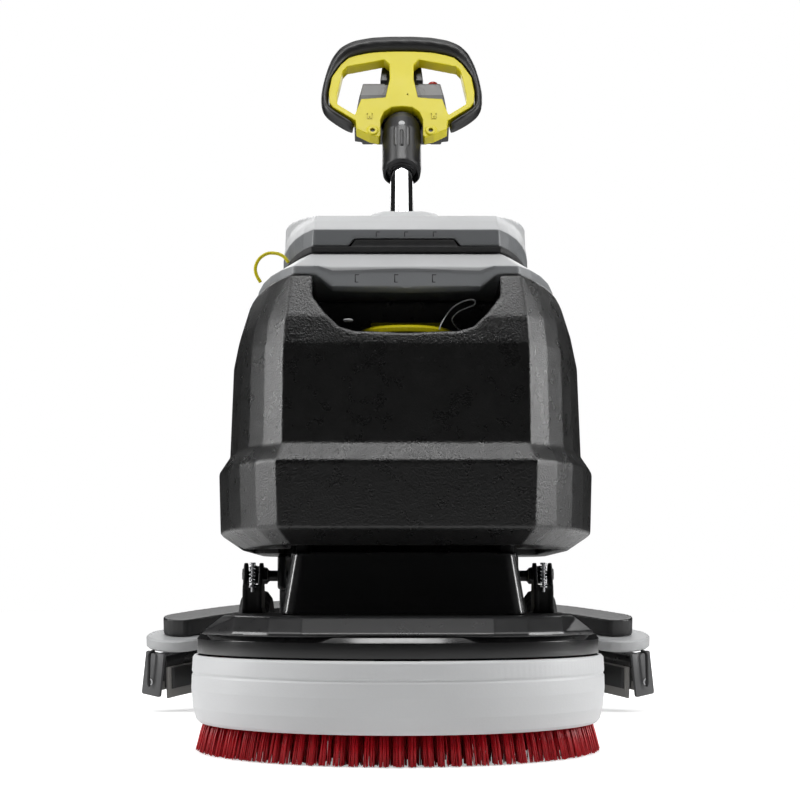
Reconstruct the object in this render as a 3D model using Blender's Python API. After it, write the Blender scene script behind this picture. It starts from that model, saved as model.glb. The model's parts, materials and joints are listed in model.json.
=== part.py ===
"""Walk-behind floor scrubber, modelled as separate pieces on their joints.

Metres, +Z up. The front of the machine (the brush) faces -Y, the operator stands at +Y, and the
floor is z = 0. The origin is on the floor, under the centre of the whole machine.
"""

import math

import bmesh
import bpy
from mathutils import Euler, Matrix, Vector

# ---------------------------------------------------------------- driving dimensions
LENGTH = 1.14
GAP = 0.0004  # clearance between pieces that touch
BRUSH_RADIUS = 0.255
SKIRT_RADIUS = 0.262
BRUSH_Y = -LENGTH / 2 + SKIRT_RADIUS
TANK_X = 0.010  # the tanks sit a little to one side of the brush deck
WALL = 0.005

WHEEL_RADIUS = 0.100
WHEEL_WIDTH = 0.044
WHEEL_X = 0.2095
AXLE_Y = 0.052
AXLE_RADIUS = 0.008

CASTER_RADIUS = 0.040
CASTER_X = 0.150
CASTER_Y = 0.252
CASTER_TRAIL = 0.030
CASTER_TOP = 0.106

SEAM = [(-0.70, 0.584), (-0.43, 0.584), (-0.158, 0.569), (0.50, 0.569)]  # tank joint line, y and z
WASTE_RIM = 0.615
GASKET_TOP = 0.6225
LID_HINGE = Vector((TANK_X, 0.097, 0.6275))
TANK_HINGE = Vector((-0.2135, 0.0, 0.568))
REAR_SPLIT_Y = 0.102  # the waste tank ends here and the rear housing begins

DECK_PIVOT_Y = -0.205
ARM_PIVOT_Y = -0.020
ARM_Z = 0.2215
ARM_X = 0.193
CAP_TOP = 0.170
TRAY_TOP = 0.2535  # the frame, under the fresh water tank

SQUEEGEE_PIVOT = Vector((0.0, 0.215, 0.100))
SQUEEGEE_RAISED = math.radians(11.0)
ARC_RADIUS = 0.520
ARC_MID = 0.5285  # the middle of the squeegee, lowered
ARC_Y = ARC_MID - ARC_RADIUS
ARC_END_X = 0.404
BODY_END_X = ARC_END_X - 0.0045  # the suction channel stops short of the end caps
ROLLER_X = 0.369
STUD_X = 0.120
SUPPORT_X = 0.300

COLUMN = Vector((0.006, 0.182, 0.700))
COLUMN_LEAN = math.radians(20.0)
TUBE_RADIUS = 0.0185
RING_BOTTOM = COLUMN.z + 0.2385  # the handle's own heights, measured up the column

LEVER_PIVOT = Vector((-0.105, 0.2775, 0.640))
PEDAL_PIVOT = Vector((0.105, 0.2855, 0.205))

ROUND = 24  # sides of a large round piece
SMALL = 12  # sides of a small one

# ---------------------------------------------------------------- materials
COLOURS = {  # colour, roughness, metallic
    "black_plastic": ((0.028, 0.028, 0.030), 0.55, 0.0),
    "dark_plastic": ((0.060, 0.062, 0.066), 0.42, 0.0),
    "grey_plastic": ((0.420, 0.430, 0.435), 0.45, 0.0),
    "mid_grey_plastic": ((0.190, 0.195, 0.200), 0.45, 0.0),
    "yellow_plastic": ((0.880, 0.800, 0.020), 0.38, 0.0),
    "black_steel": ((0.020, 0.020, 0.021), 0.45, 0.4),
    "bright_steel": ((0.620, 0.620, 0.630), 0.30, 1.0),
    "chrome": ((0.880, 0.880, 0.890), 0.10, 1.0),
    "white_rubber": ((0.780, 0.780, 0.775), 0.50, 0.0),
    "grey_rubber": ((0.330, 0.325, 0.315), 0.60, 0.0),
    "black_rubber": ((0.020, 0.020, 0.020), 0.75, 0.0),
    "red_bristle": ((0.640, 0.020, 0.045), 0.55, 0.0),
    "red_plastic": ((0.600, 0.020, 0.020), 0.35, 0.0),
}


def material(name):
    found = bpy.data.materials.get(name)
    if found:
        return found
    made = bpy.data.materials.new(name)
    made.use_nodes = True
    colour, roughness, metallic = COLOURS[name]
    shader = made.node_tree.nodes["Principled BSDF"]
    shader.inputs["Base Color"].default_value = (*colour, 1.0)
    shader.inputs["Roughness"].default_value = roughness
    shader.inputs["Metallic"].default_value = metallic
    return made


# ---------------------------------------------------------------- rigs: one empty on each joint's axis
def rig(name, pivot, parent=None, tilt=0.0):
    """An empty on a joint's axis. What is attached to it is modelled upright, then turned by tilt."""
    empty = bpy.data.objects.new(name, None)
    empty.location = pivot
    empty.rotation_euler = Euler((tilt, 0.0, 0.0))
    bpy.context.scene.collection.objects.link(empty)
    empty["pivot"] = list(pivot)
    if parent:
        attach(empty, parent)
    return empty


def attach(obj, empty):
    obj.parent = empty
    obj.matrix_parent_inverse = Matrix.Translation(-Vector(empty["pivot"]))
    return obj


# ---------------------------------------------------------------- shape helpers
def finish(name, bm, colour, empty=None, smooth=True):
    bmesh.ops.recalc_face_normals(bm, faces=bm.faces)
    mesh = bpy.data.meshes.new(name)
    bm.to_mesh(mesh)
    bm.free()
    obj = bpy.data.objects.new(name, mesh)
    bpy.context.scene.collection.objects.link(obj)
    if colour:
        mesh.materials.append(material(colour))
    if smooth:
        mesh.shade_smooth()
        mesh.set_sharp_from_angle(angle=math.radians(35))
    if empty:
        attach(obj, empty)
    return obj


def loft(name, rings, colour, empty=None, closed=False):
    """A skin through rings of points. It is capped at both ends, or runs round to its start if closed."""
    bm = bmesh.new()
    rows = [[bm.verts.new(p) for p in ring] for ring in rings]
    count = len(rows[0])
    pairs = list(zip(rows, rows[1:] + rows[:1])) if closed else list(zip(rows, rows[1:]))
    for low, high in pairs:
        for i in range(count):
            j = (i + 1) % count
            bm.faces.new((low[i], low[j], high[j], high[i]))
    if not closed:
        bm.faces.new(rows[0])
        bm.faces.new(rows[-1])
    return finish(name, bm, colour, empty)


def block(name, low, high, colour, empty=None, bevel=0.0):
    """A box between two corners, with its edges rounded by bevel."""
    bm = bmesh.new()
    bmesh.ops.create_cube(bm, size=1.0)
    size = Vector(high) - Vector(low)
    bmesh.ops.scale(bm, vec=size, verts=bm.verts)
    bmesh.ops.translate(bm, vec=(Vector(low) + Vector(high)) / 2, verts=bm.verts)
    if bevel:
        bmesh.ops.bevel(bm, geom=bm.edges[:], offset=bevel, segments=1, affect="EDGES")
    return finish(name, bm, colour, empty)


AXES = {
    "x": lambda r, c, s, h: Vector((h, r * c, r * s)),
    "y": lambda r, c, s, h: Vector((r * s, h, r * c)),
    "z": lambda r, c, s, h: Vector((r * c, r * s, h)),
}


def turned(name, centre, profile, colour, empty=None, axis="z", sides=ROUND):
    """A round piece: profile is (radius, height) points round its section, about an axis through centre.

    A profile whose first and last radius are 0 is a solid; any other is a ring."""
    rings = []
    for radius, height in profile:
        ring = []
        for i in range(sides):
            angle = 2 * math.pi * i / sides
            offset = AXES[axis](radius, math.cos(angle), math.sin(angle), height)
            ring.append(Vector(centre) + offset)
        rings.append(ring)
    if profile[0][0] > 0:
        return loft(name, rings, colour, empty, closed=True)
    return loft(name, rings[1:-1], colour, empty)


def rod(name, start, end, radius, colour, empty=None, sides=SMALL, shrink=1.0):
    """A round bar between two points."""
    start, end = Vector(start), Vector(end)
    along = (end - start).normalized()
    side = along.orthogonal().normalized()
    if abs(along.x) < 0.9:
        side = (Vector((1, 0, 0)) - along * along.x).normalized()
    up = along.cross(side)
    rings = []
    for centre, size in ((start, radius), (end, radius * shrink)):
        turn = [2 * math.pi * i / sides for i in range(sides)]
        rings.append([centre + (side * math.cos(a) + up * math.sin(a)) * size for a in turn])
    return loft(name, rings, colour, empty)


def prism(name, outline, low, high, colour, empty=None, axis="y"):
    """A flat outline pushed from low to high along an axis. The outline is (x, z), (y, z) or (x, y)."""
    place = {
        "x": lambda u, v, h: Vector((h, u, v)),
        "y": lambda u, v, h: Vector((u, h, v)),
        "z": lambda u, v, h: Vector((u, v, h)),
    }[axis]
    rings = [[place(u, v, h) for u, v in outline] for h in (low, high)]
    return loft(name, rings, colour, empty)


def helper(obj):
    """Marks a cutter or a piece that a union has taken in, which isn't a node."""
    obj.hide_render = True
    obj.display_type = "WIRE"
    return obj


def combine(obj, other, operation):
    made = obj.modifiers.new(operation.lower(), "BOOLEAN")
    made.operation = operation
    made.object = helper(other)
    made.solver = "EXACT"
    return obj


def cut(obj, *cutters):
    for cutter in cutters:
        combine(obj, cutter, "DIFFERENCE")
    return obj


def join(obj, *others):
    for other in others:
        combine(obj, other, "UNION")
    return obj


def mirrored(points):
    """A right-hand half outline, top to bottom, closed by its mirror image."""
    return list(points) + [(-x, z) for x, z in reversed(points) if abs(x) > 1e-9]


def arc_point(x, offset=0.0):
    """A point on the squeegee's arc, moved outward from its centre by offset."""
    angle = math.asin(x / ARC_RADIUS)
    reach = ARC_RADIUS + offset
    return reach * math.sin(angle), ARC_Y + reach * math.cos(angle)


def arc_sweep(name, section, end_x, steps, colour, empty, round_end=0.0):
    """A section of (offset, z) points, carried along the squeegee's arc from -end_x to end_x.

    With round_end, the piece goes that much further and its ends are rounded in plan."""
    limit = math.asin(end_x / ARC_RADIUS)
    stations = [(-limit + 2 * limit * i / steps, 1.0) for i in range(steps + 1)]
    for i in range(1, 6) if round_end else ():
        a = math.radians(17 * i)
        beyond = limit + round_end / ARC_RADIUS * math.sin(a)
        stations = [(-beyond, math.cos(a)), *stations, (beyond, math.cos(a))]
    rings = []
    for angle, narrow in stations:
        ring = []
        for offset, z in section:
            reach = ARC_RADIUS + offset * narrow
            ring.append(Vector((reach * math.sin(angle), ARC_Y + reach * math.cos(angle), z)))
        rings.append(ring)
    return loft(name, rings, colour, empty)


def hull_ring(z, half, front_half, front_y, rear_y, side_run=0.27, corner=0.05, inset=0.0):
    """One level of a tank: a flat front, sides that curve out to full width, and a rounded rear."""
    half, front_half = half - inset, front_half - inset * 0.6
    front_y, rear_y = front_y + inset, rear_y - inset
    start = Vector((front_half, front_y))
    bend = Vector((half - 0.010, front_y + side_run * 0.26))
    end = Vector((half, front_y + side_run))
    right = []
    for i in range(7):
        t = i / 6
        right.append(start * (1 - t) ** 2 + bend * 2 * t * (1 - t) + end * t * t)
    for i in range(4):
        a = math.pi / 2 * i / 3
        x = half - corner + corner * math.cos(a)
        right.append(Vector((x, rear_y - corner + corner * math.sin(a))))
    ring = [Vector((p.x + TANK_X, p.y, z)) for p in right]
    ring += [Vector((TANK_X - p.x, p.y, z)) for p in reversed(right)]
    return ring


def seam_prism(name, shift, up):
    """All the space above, or below, the joint line between the two tanks."""
    far = 0.9 if up else 0.2
    line = [(y, z + shift) for y, z in SEAM]
    return prism(name, line + [(SEAM[-1][0], far), (SEAM[0][0], far)], -0.5, 0.5, None, axis="x")


# ---------------------------------------------------------------- the fresh water tank and the frame
TANK_RUN = 0.32  # how far back the tanks' sides reach their full width
FRESH_LEVELS = [  # z, half width, front half width, front y, rear y
    (0.254, 0.222, 0.136, -0.458, 0.250),
    (0.274, 0.250, 0.152, -0.480, 0.272),
    (0.354, 0.252, 0.154, -0.482, 0.274),
    (0.376, 0.239, 0.148, -0.466, 0.262),
    (0.496, 0.235, 0.147, -0.460, 0.258),
    (0.530, 0.229, 0.145, -0.452, 0.256),
    (0.600, 0.210, 0.139, -0.422, 0.250),
]
BAY = ((TANK_X - 0.182, -0.262), (TANK_X + 0.202, 0.100))  # x and y corners of the battery bay
POCKET_TOP = 0.281  # the neck of the brush head rises into this
CHANNEL = (0.170, 0.2095)  # and its brackets and arms into these, at either side
CHANNEL_Y = (-0.245, -0.005)
CHANNEL_TOP = 0.2710
RECESS = mirrored(
    [(0.1134, 0.70), (0.1134, 0.556), (0.0975, 0.534), (0.080, 0.5165), (0.062, 0.5115), (0.0, 0.5095)]
)
RECESS_REAR = -0.288
FILLER = Vector((TANK_X, -0.3665, 0.500))
FILLER_BORE = 0.045


def fresh_tank(root):
    tank = loft("fresh_tank", [hull_ring(*level, TANK_RUN) for level in FRESH_LEVELS], "black_plastic", root)
    recess = [(x + TANK_X, z) for x, z in RECESS]
    funnel = block("cut_funnel", (TANK_X - 0.076, -0.441, 0.5003), (TANK_X + 0.076, RECESS_REAR, 0.53), None)
    bore = [(0, -0.03), (FILLER_BORE, -0.03), (FILLER_BORE, 0.01), (0, 0.01)]
    (x0, y0), (x1, y1) = BAY
    cut(
        tank,
        seam_prism("cut_above_seam", 0.0, True),
        prism("cut_recess", recess, -0.60, RECESS_REAR, None),
        funnel,
        block("cut_bay", (x0, y0, 0.10), (x1, y1, 0.70), None),
        loft("cut_pocket", [neck_ring(z, 0.1460, -0.4450, -0.1700) for z in (0.20, POCKET_TOP)], None),
        channel("cut_channel_left", -1),
        channel("cut_channel_right", 1),
        water_space(),
        turned("cut_filler", FILLER, bore, None),
    )
    for i, (y, z) in enumerate(((0.2700, 0.320), (0.2540, 0.500))):
        clip = block(f"join_clip_{i}", (0.104, y, z), (0.156, 0.3240, z + 0.020), None)
        cut(clip, block(f"cut_clip_{i}", (0.1108, 0.2808, z - 0.01), (0.1492, 0.40, z + 0.05), None))
        join(tank, clip)
    return tank


def channel(name, side):
    """The slot under the tank that a lift arm and its bracket rise into."""
    near, far = CHANNEL
    low = (min(side * near, side * far), CHANNEL_Y[0], 0.20)
    high = (max(side * near, side * far), CHANNEL_Y[1], CHANNEL_TOP)
    return block(name, low, high, None)


def water_space():
    """The hollow of the fresh tank: its outer shape less a wall, and less a wall round each recess."""
    levels = []
    for i, (z, *rest) in enumerate(FRESH_LEVELS):
        lift = WALL if i == 0 else 0.0
        levels.append(hull_ring(z + lift, *rest, TANK_RUN, inset=WALL))
    space = loft("cut_water_space", levels, None)
    (x0, y0), (x1, y1) = BAY
    recess = mirrored(
        [(0.1184, 0.70), (0.1184, 0.554), (0.102, 0.530), (0.084, 0.511), (0.078, 0.495), (0.0, 0.495)]
    )
    cut(
        space,
        seam_prism("keep_top_wall", -WALL, True),
        block("keep_bay_wall", (x0 - WALL, y0 - WALL, 0.10), (x1 + WALL, y1 + WALL, 0.70), None),
        block("keep_pocket_wall", (-0.30, -0.60, 0.20), (0.30, 0.0, POCKET_TOP + WALL), None),
        prism("keep_recess_wall", [(x + TANK_X, z) for x, z in recess], -0.60, RECESS_REAR + WALL, None),
    )
    return space


def filler(root):
    """The filler's neck ring, and its bayonet cap, which turns on it."""
    turned(
        "filler_neck",
        FILLER,
        [(0.046, 0.0007), (0.058, 0.0007), (0.058, 0.0117), (0.046, 0.0117)],
        "black_plastic",
        root,
    )
    turn = rig("cap_turn", FILLER, root)
    profile = [(0, 0.0123), (0.060, 0.0123), (0.062, 0.0150), (0.062, 0.0200)]
    profile += [(0.057, 0.0235), (0.030, 0.0255), (0, 0.0255)]
    cap = turned("filler_cap", FILLER, profile, "yellow_plastic", turn)
    x, y, z = FILLER
    low, high = (x - 0.044, y - 0.0060, z + 0.0235), (x + 0.044, y + 0.0060, z + 0.0345)
    return join(cap, block("join_cap_bar", low, high, None, turn))


def chassis(root):
    """The folded steel tray, its rails, axle plates, caster boxes and squeegee ears."""
    low, high = (-0.172, -0.040, TRAY_TOP - 0.006), (0.172, 0.262, TRAY_TOP)
    tray = block("chassis_frame", low, high, "black_steel", root)
    top = TRAY_TOP - 0.003
    for side in (-1, 1):
        rail = [(side * 0.160, 0.202), (side * 0.172, 0.202), (side * 0.172, top), (side * 0.160, top)]
        join(tray, prism(f"join_rail_{side}", rail, -0.055, 0.262, None))
        plate = [
            (AXLE_Y - 0.040, top),
            (AXLE_Y - 0.022, 0.080),
            (AXLE_Y + 0.022, 0.080),
            (AXLE_Y + 0.040, top),
        ]
        join(tray, prism(f"join_axle_plate_{side}", plate, side * 0.161, side * 0.171, None, axis="x"))
        box_low = (min(side * 0.112, side * 0.188), 0.222, 0.1105)
        box_high = (max(side * 0.112, side * 0.188), 0.282, top)
        join(tray, block(f"join_caster_box_{side}", box_low, box_high, None))
        ear = [(0.195, top), (0.200, 0.088), (0.230, 0.088), (0.250, top)]
        join(tray, prism(f"join_ear_{side}", ear, side * 0.050, side * 0.056, None, axis="x"))
    for name, y, z, radius in (
        ("axle", AXLE_Y, WHEEL_RADIUS, AXLE_RADIUS + GAP),
        ("arm_shaft", ARM_PIVOT_Y, ARM_Z, 0.0089),
    ):
        cut(tray, rod(f"cut_{name}", (-0.3, y, z), (0.3, y, z), radius, None))
    for side in (-1, 1):
        swivel = (side * CASTER_X, CASTER_Y)
        cut(tray, rod(f"cut_swivel_{side}", (*swivel, 0.100), (*swivel, 0.1305), 0.0085, None))
        x = TANK_X + side * 0.150
        join(tray, block(f"join_leg_{side}", (x - 0.010, 0.020, top), (x + 0.010, 0.090, 0.2900), None))
    _, y, z = SQUEEGEE_PIVOT
    join(tray, rod("join_squeegee_pin", (-0.0740, y, z), (0.0740, y, z), 0.0060, None))
    low, high = (TANK_X - 0.165, -0.258, 0.2885), (TANK_X + 0.165, 0.098, 0.2955)
    join(tray, block("join_battery_tray", low, high, None))
    x, y, z = PEDAL_PIVOT
    low, high = (x + 0.0066, 0.2700, z - 0.0120), (x + 0.0130, 0.2940, z + 0.0120)
    join(tray, block("join_pedal_bracket", low, high, None))
    join(tray, rod("join_pedal_pin", (x + 0.0080, y, z), (x - 0.0060, y, z), 0.0036, None, sides=12))
    return tray


def batteries(root):
    for name, y in (("battery_front", -0.168), ("battery_rear", 0.014)):
        low, high = (TANK_X - 0.130, y - 0.086, 0.2960), (TANK_X + 0.130, y + 0.086, 0.4300)
        battery = block(name, low, high, "dark_plastic", root, 0.004)
        for side in (-1, 1):
            ends = [(TANK_X + side * 0.095, y + 0.05, z) for z in (0.425, 0.441)]
            join(battery, rod(f"join_{name}_post_{side}", *ends, 0.008, None))


# ---------------------------------------------------------------- the waste water tank and its lid
WASTE_LEVELS = [
    (0.550, 0.2140, 0.1400, -0.4330, REAR_SPLIT_Y, TANK_RUN),
    (0.594, 0.2090, 0.1390, -0.4270, REAR_SPLIT_Y, TANK_RUN),
    (WASTE_RIM, 0.1670, 0.1150, -0.4060, REAR_SPLIT_Y),
]
BELLY = ((TANK_X - 0.172, -0.252), (TANK_X + 0.176, 0.090), 0.452)
LID_LEVELS = [
    (GASKET_TOP + GAP, 0.1690, 0.1150, -0.4080, 0.0900),
    (0.6450, 0.1690, 0.1140, -0.4060, 0.0890),
    (0.6580, 0.1690, 0.1130, -0.3900, 0.0850),
    (0.6690, 0.1690, 0.1125, -0.3720, 0.0810),
    (0.7200, 0.1680, 0.1100, -0.3640, 0.0760),
]
LID_TOP = [(-0.60, 0.6690), (-0.3720, 0.6690), (-0.1000, 0.7045), (-0.0350, 0.7045), (0.0450, 0.6760)]
LID_TOP += [(0.0780, 0.6580), (0.20, 0.6580)]  # the lid's side profile, which rises towards the rear


def waste_tank(empty):
    levels = [hull_ring(*level, corner=0.02) for level in WASTE_LEVELS]
    tank = loft("waste_tank", levels, "grey_plastic", empty)
    cut(tank, seam_prism("cut_below_seam", GAP * 2, False))
    (x0, y0), (x1, y1), bottom = BELLY
    join(tank, block("join_belly", (x0, y0, bottom), (x1, y1, 0.600), None))
    chin = mirrored([(0.1125, 0.612), (0.1125, 0.5865), (0.0915, 0.570), (0.0, 0.568)])
    chin = prism("join_chin", [(x + TANK_X, z) for x, z in chin], -0.4300, -0.3900, None)
    cut(chin, chin_slope())
    join(tank, chin)
    inside = block("cut_belly", (x0 + WALL, y0 + WALL, bottom + WALL), (x1 - WALL, y1 - WALL, 0.598), None)
    throat = [hull_ring(z, 0.1530, 0.1030, -0.3900, 0.0850, corner=0.02) for z in (0.590, 0.640)]
    cut(tank, inside, loft("cut_throat", throat, None))
    for side in (-1, 1):
        x = TANK_X + side * 0.1165
        low, high = (x - 0.0025, 0.0922, 0.6100), (x + 0.0025, 0.1012, 0.6325)
        join(tank, block(f"join_hinge_ear_{side}", low, high, None))
    pin = [(TANK_X + side * 0.118, LID_HINGE.y, LID_HINGE.z) for side in (-1, 1)]
    return join(tank, rod("join_lid_pin", *pin, 0.0024, None, sides=8))


def chin_slope():
    """Slopes the front of the chin to follow the tank above it."""
    slope = [(-0.50, 0.50), (-0.4335, 0.50), (-0.4275, 0.594), (-0.4060, 0.615), (-0.50, 0.70)]
    return prism("cut_chin_slope", slope, -0.2, 0.2, None, axis="x")


def gasket(empty):
    seal = loft(
        "tank_gasket",
        [hull_ring(z, 0.1685, 0.1165, -0.4095, 0.0915, corner=0.02) for z in (WASTE_RIM + GAP, GASKET_TOP)],
        "black_rubber",
        empty,
    )
    hole = [hull_ring(z, 0.1530, 0.1030, -0.3900, 0.0800, corner=0.02) for z in (0.60, 0.65)]
    return cut(seal, loft("cut_gasket", hole, None))


def above_lid(name, drop):
    """All the space above the lid's side profile, lowered by drop."""
    line = [(y, z - drop) for y, z in LID_TOP]
    return prism(name, line + [(0.20, 0.90), (-0.60, 0.90)], -0.4, 0.4, None, axis="x")


def lid(empty):
    levels = [hull_ring(*level, corner=0.03) for level in LID_LEVELS]
    cover = cut(loft("tank_lid", levels, "grey_plastic", empty), above_lid("cut_lid_top", 0.0))
    inside = []
    for z, half, front_half, front_y, rear_y in LID_LEVELS[:1] + LID_LEVELS[2:]:
        inside.append(hull_ring(z - 0.004, half, front_half, front_y, rear_y, corner=0.03, inset=0.006))
    inside[0] = [p - Vector((0, 0, 0.010)) for p in inside[0]]
    grip = mirrored([(0.062, 0.6335), (0.070, 0.6225), (0.070, 0.60)])
    grip = prism("cut_grip", [(x + TANK_X - 0.002, z) for x, z in grip], -0.45, -0.395, None)
    hollow = cut(loft("cut_lid_inside", inside, None), above_lid("keep_lid_top", 0.0045))
    cut(cover, hollow, grip)
    _, y, z = LID_HINGE
    for side in (-1, 1):
        x = TANK_X + side * 0.100
        knuckle = rod(f"join_knuckle_{side}", (x - 0.012, y, z), (x + 0.012, y, z), 0.0055, None)
        neck = block(f"join_neck_{side}", (x - 0.012, 0.080, 0.6255), (x + 0.012, y, 0.6310), None)
        join(cover, neck, knuckle)
    return cut(cover, rod("cut_lid_pin", (-0.2, y, z), (0.2, y, z), 0.0030, None, sides=8))


def tank_fittings(empty):
    """The float cage inside the tank."""
    cage = turned(
        "float_cage",
        (TANK_X, 0.020, 0.0),
        [(0.026, 0.470), (0.030, 0.470), (0.030, 0.600), (0.026, 0.600)],
        "black_plastic",
        empty,
        sides=SMALL,
    )
    for i in range(4):
        angle = math.pi / 4 * (2 * i + 1)
        middle = Vector((TANK_X, 0.020, 0.535)) + Vector((math.cos(angle), math.sin(angle), 0)) * 0.028
        half = Vector((0.009, 0.009, 0.05))
        cut(cage, block(f"cut_cage_{i}", middle - half, middle + half, None))


# ---------------------------------------------------------------- the rear housing and its hoses
def rear_housing(root):
    low, high = REAR_SPLIT_Y + 0.001, 0.262
    levels = [
        (0.5698, 0.2115, low, high),
        (0.594, 0.2085, low, high),
        (0.622, 0.1690, low, high - 0.010),
        (0.634, 0.1560, low + 0.01, high - 0.02),
    ]
    rings = []
    for z, half, y0, y1 in levels:
        c = 0.022
        right = [(half, y0), (half, y1 - c), (half - c * 0.3, y1 - c * 0.3), (half - c, y1)]
        rings.append([Vector((TANK_X + x, y, z)) for x, y in mirrored(right)])
    shell = loft("rear_housing", rings, "grey_plastic", root)
    tower = []
    for z, half, y0, y1 in (
        (0.600, 0.066, 0.112, 0.240),
        (0.640, 0.060, 0.126, 0.244),
        (0.790, 0.057, 0.173, 0.262),
        (0.798, 0.051, 0.179, 0.256),
    ):
        c = 0.018
        right = [(half - c, y0), (half, y0 + c), (half, y1 - c), (half - c, y1)]
        tower.append([Vector((TANK_X + x, y, z)) for x, y in mirrored(right)])
    join(shell, loft("join_tower", tower, None))
    for name, x in (("suction", -0.080), ("drain", 0.130)):
        port_low, port_high = (x - 0.030, 0.230, 0.5905), (x + 0.030, 0.3300, 0.6230)
        join(shell, block(f"join_{name}_port", port_low, port_high, None, None, 0.004))
    x, y, z = LEVER_PIVOT
    bracket_low, bracket_high = (x - 0.0120, 0.2350, 0.6100), (x - 0.0036, 0.2850, z + 0.0080)
    join(shell, block("join_lever_bracket", bracket_low, bracket_high, None))
    join(shell, rod("join_lever_pin", (x - 0.006, y, z), (x + 0.0060, y, z), 0.0036, None, sides=12))
    inside = block("cut_housing", (TANK_X - 0.19, low + 0.004, 0.50), (TANK_X + 0.19, 0.254, 0.6080), None)
    lean = Vector((0, math.sin(COLUMN_LEAN), math.cos(COLUMN_LEAN)))
    ends = (COLUMN - lean * 0.088, COLUMN + lean * 0.2)
    bore = rod("cut_column", *ends, TUBE_RADIUS + GAP, None, sides=ROUND)
    return cut(shell, inside, bore)


def hoses(root):
    """The drain hose that hangs in its clips, its plug, and the vacuum turbine."""
    hose = turned(
        "drain_hose",
        (0.130, 0.3000, 0.0),
        [(0, 0.290), (0.0185, 0.290), (0.0185, 0.5900), (0, 0.5900)],
        "dark_plastic",
        root,
        sides=SMALL,
    )
    plug = turned(
        "drain_plug",
        (0.130, 0.3000, 0.0),
        [(0, 0.262), (0.017, 0.262), (0.022, 0.267), (0.022, 0.2895), (0, 0.2895)],
        "yellow_plastic",
        root,
        sides=SMALL,
    )
    turbine = [(0, 0.5700), (0.060, 0.5700), (0.060, 0.6040), (0, 0.6040)]
    turned("suction_turbine", (TANK_X + 0.110, 0.180, 0.0), turbine, "bright_steel", root)
    return hose, plug


def suction_hose(root):
    """The ribbed hose from the squeegee's spigot up to the rear housing."""
    curve = bpy.data.curves.new("suction_hose", "CURVE")
    curve.dimensions = "3D"
    curve.bevel_depth = 0.0205
    curve.bevel_resolution = 3
    curve.use_fill_caps = True
    points = smooth_route(HOSE_ROUTE, 0.040)
    spline = curve.splines.new("POLY")
    spline.points.add(len(points) - 1)
    for place, point in zip(spline.points, points):
        place.co = (*point, 1.0)
    curve.materials.append(material("dark_plastic"))
    hose = bpy.data.objects.new("suction_hose", curve)
    bpy.context.scene.collection.objects.link(hose)
    return attach(hose, root)


HOSE_ROUTE = [
    (0.000, 0.5100, 0.2245),
    (0.000, 0.5045, 0.2530),
    (-0.003, 0.4920, 0.2880),
    (-0.010, 0.4720, 0.3230),
    (-0.021, 0.4460, 0.3570),
    (-0.034, 0.4160, 0.3900),
    (-0.048, 0.3860, 0.4240),
    (-0.060, 0.3560, 0.4580),
    (-0.070, 0.3300, 0.4920),
    (-0.077, 0.3130, 0.5260),
    (-0.0795, 0.3030, 0.5550),
    (-0.080, 0.3010, 0.5740),
    (-0.080, 0.3010, 0.5875),
]


def smooth_route(points, spacing):
    """A smooth curve (Catmull-Rom) through points, read off at about the given spacing."""
    points = [Vector(p) for p in points]
    ends = [points[0] * 2 - points[1], *points, points[-1] * 2 - points[-2]]
    line = []
    for i in range(1, len(ends) - 2):
        a, b, c, d = ends[i - 1 : i + 3]
        steps = max(1, round((c - b).length / spacing * 4))
        for k in range(steps):
            t = k / steps
            bend = (a * 2 - b * 5 + c * 4 - d) * t * t + (b * 3 - a - c * 3 + d) * t**3
            line.append((b * 2 + (c - a) * t + bend) / 2)
    line.append(points[-1])
    count = max(2, round(sum((q - p).length for p, q in zip(line, line[1:])) / spacing))
    return [line[round(i * (len(line) - 1) / count)] for i in range(count + 1)]


# ---------------------------------------------------------------- the brush head
def deck_pieces(deck):
    at = Vector((0, BRUSH_Y, 0))
    plate = [(0, 0.1205), (0.2500, 0.1205), (0.2545, 0.1240)]
    plate += [(0.2545, 0.1430), (0.2480, 0.1460), (0, 0.1460)]
    turned("deck_plate", at, plate, "dark_plastic", deck, sides=32)
    levels = [(0.1464, 0.2380, -0.5480), (0.1510, 0.2370, -0.5460)]
    levels += [(0.1680, 0.2170, -0.5240), (CAP_TOP, 0.2130, -0.5190)]
    cap = loft("deck_cap", [cap_ring(*level) for level in levels], "dark_plastic", deck)
    hole = [(0, 0.10), (0.100, 0.10), (0.100, 0.20), (0, 0.20)]
    cut(cap, turned("cut_cap", at, hole, None, deck, sides=32))
    skirt = [(0.2530, 0.1200), (0.2575, 0.1200), (0.2610, 0.1130), (SKIRT_RADIUS, 0.0600)]
    skirt += [(0.2565, 0.0360), (0.2520, 0.0360), (0.2565, 0.0600), (0.2560, 0.1130)]
    turned("splash_skirt", at, skirt, "white_rubber", deck, sides=32)
    neck = []
    for z, half, front, rear in ((CAP_TOP + GAP, 0.149, -0.447, -0.175), (0.246, 0.137, -0.436, -0.185)):
        neck.append(neck_ring(z, half, front, rear))
    cover = loft("neck_cover", neck, "dark_plastic", deck)
    inside = [neck_ring(0.160, 0.1455, -0.4425, -0.1795), neck_ring(0.242, 0.132, -0.431, -0.190)]
    cut(cover, loft("cut_neck", inside, None))
    motor = [(0, 0.1465), (0.085, 0.1465), (0.085, 0.1900), (0.062, 0.1950)]
    motor += [(0.062, 0.2340), (0.050, 0.2390), (0, 0.2390)]
    turned("brush_motor", at, motor, "bright_steel", deck)
    for side, word in ((-1, "left"), (1, "right")):
        deck_bracket(deck, side, word)
    return cap


def cap_ring(z, half, front):
    """One level of the deck's cap: a flat front, diagonal corners and straight sides."""
    right = [(0.110, front), (0.150, front + 0.020), (0.195, front + 0.066), (half, front + 0.135)]
    right += [(half, -0.185), (half - 0.040, -0.150)]
    return [Vector((x, y, z)) for x, y in mirrored(right)]


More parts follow.
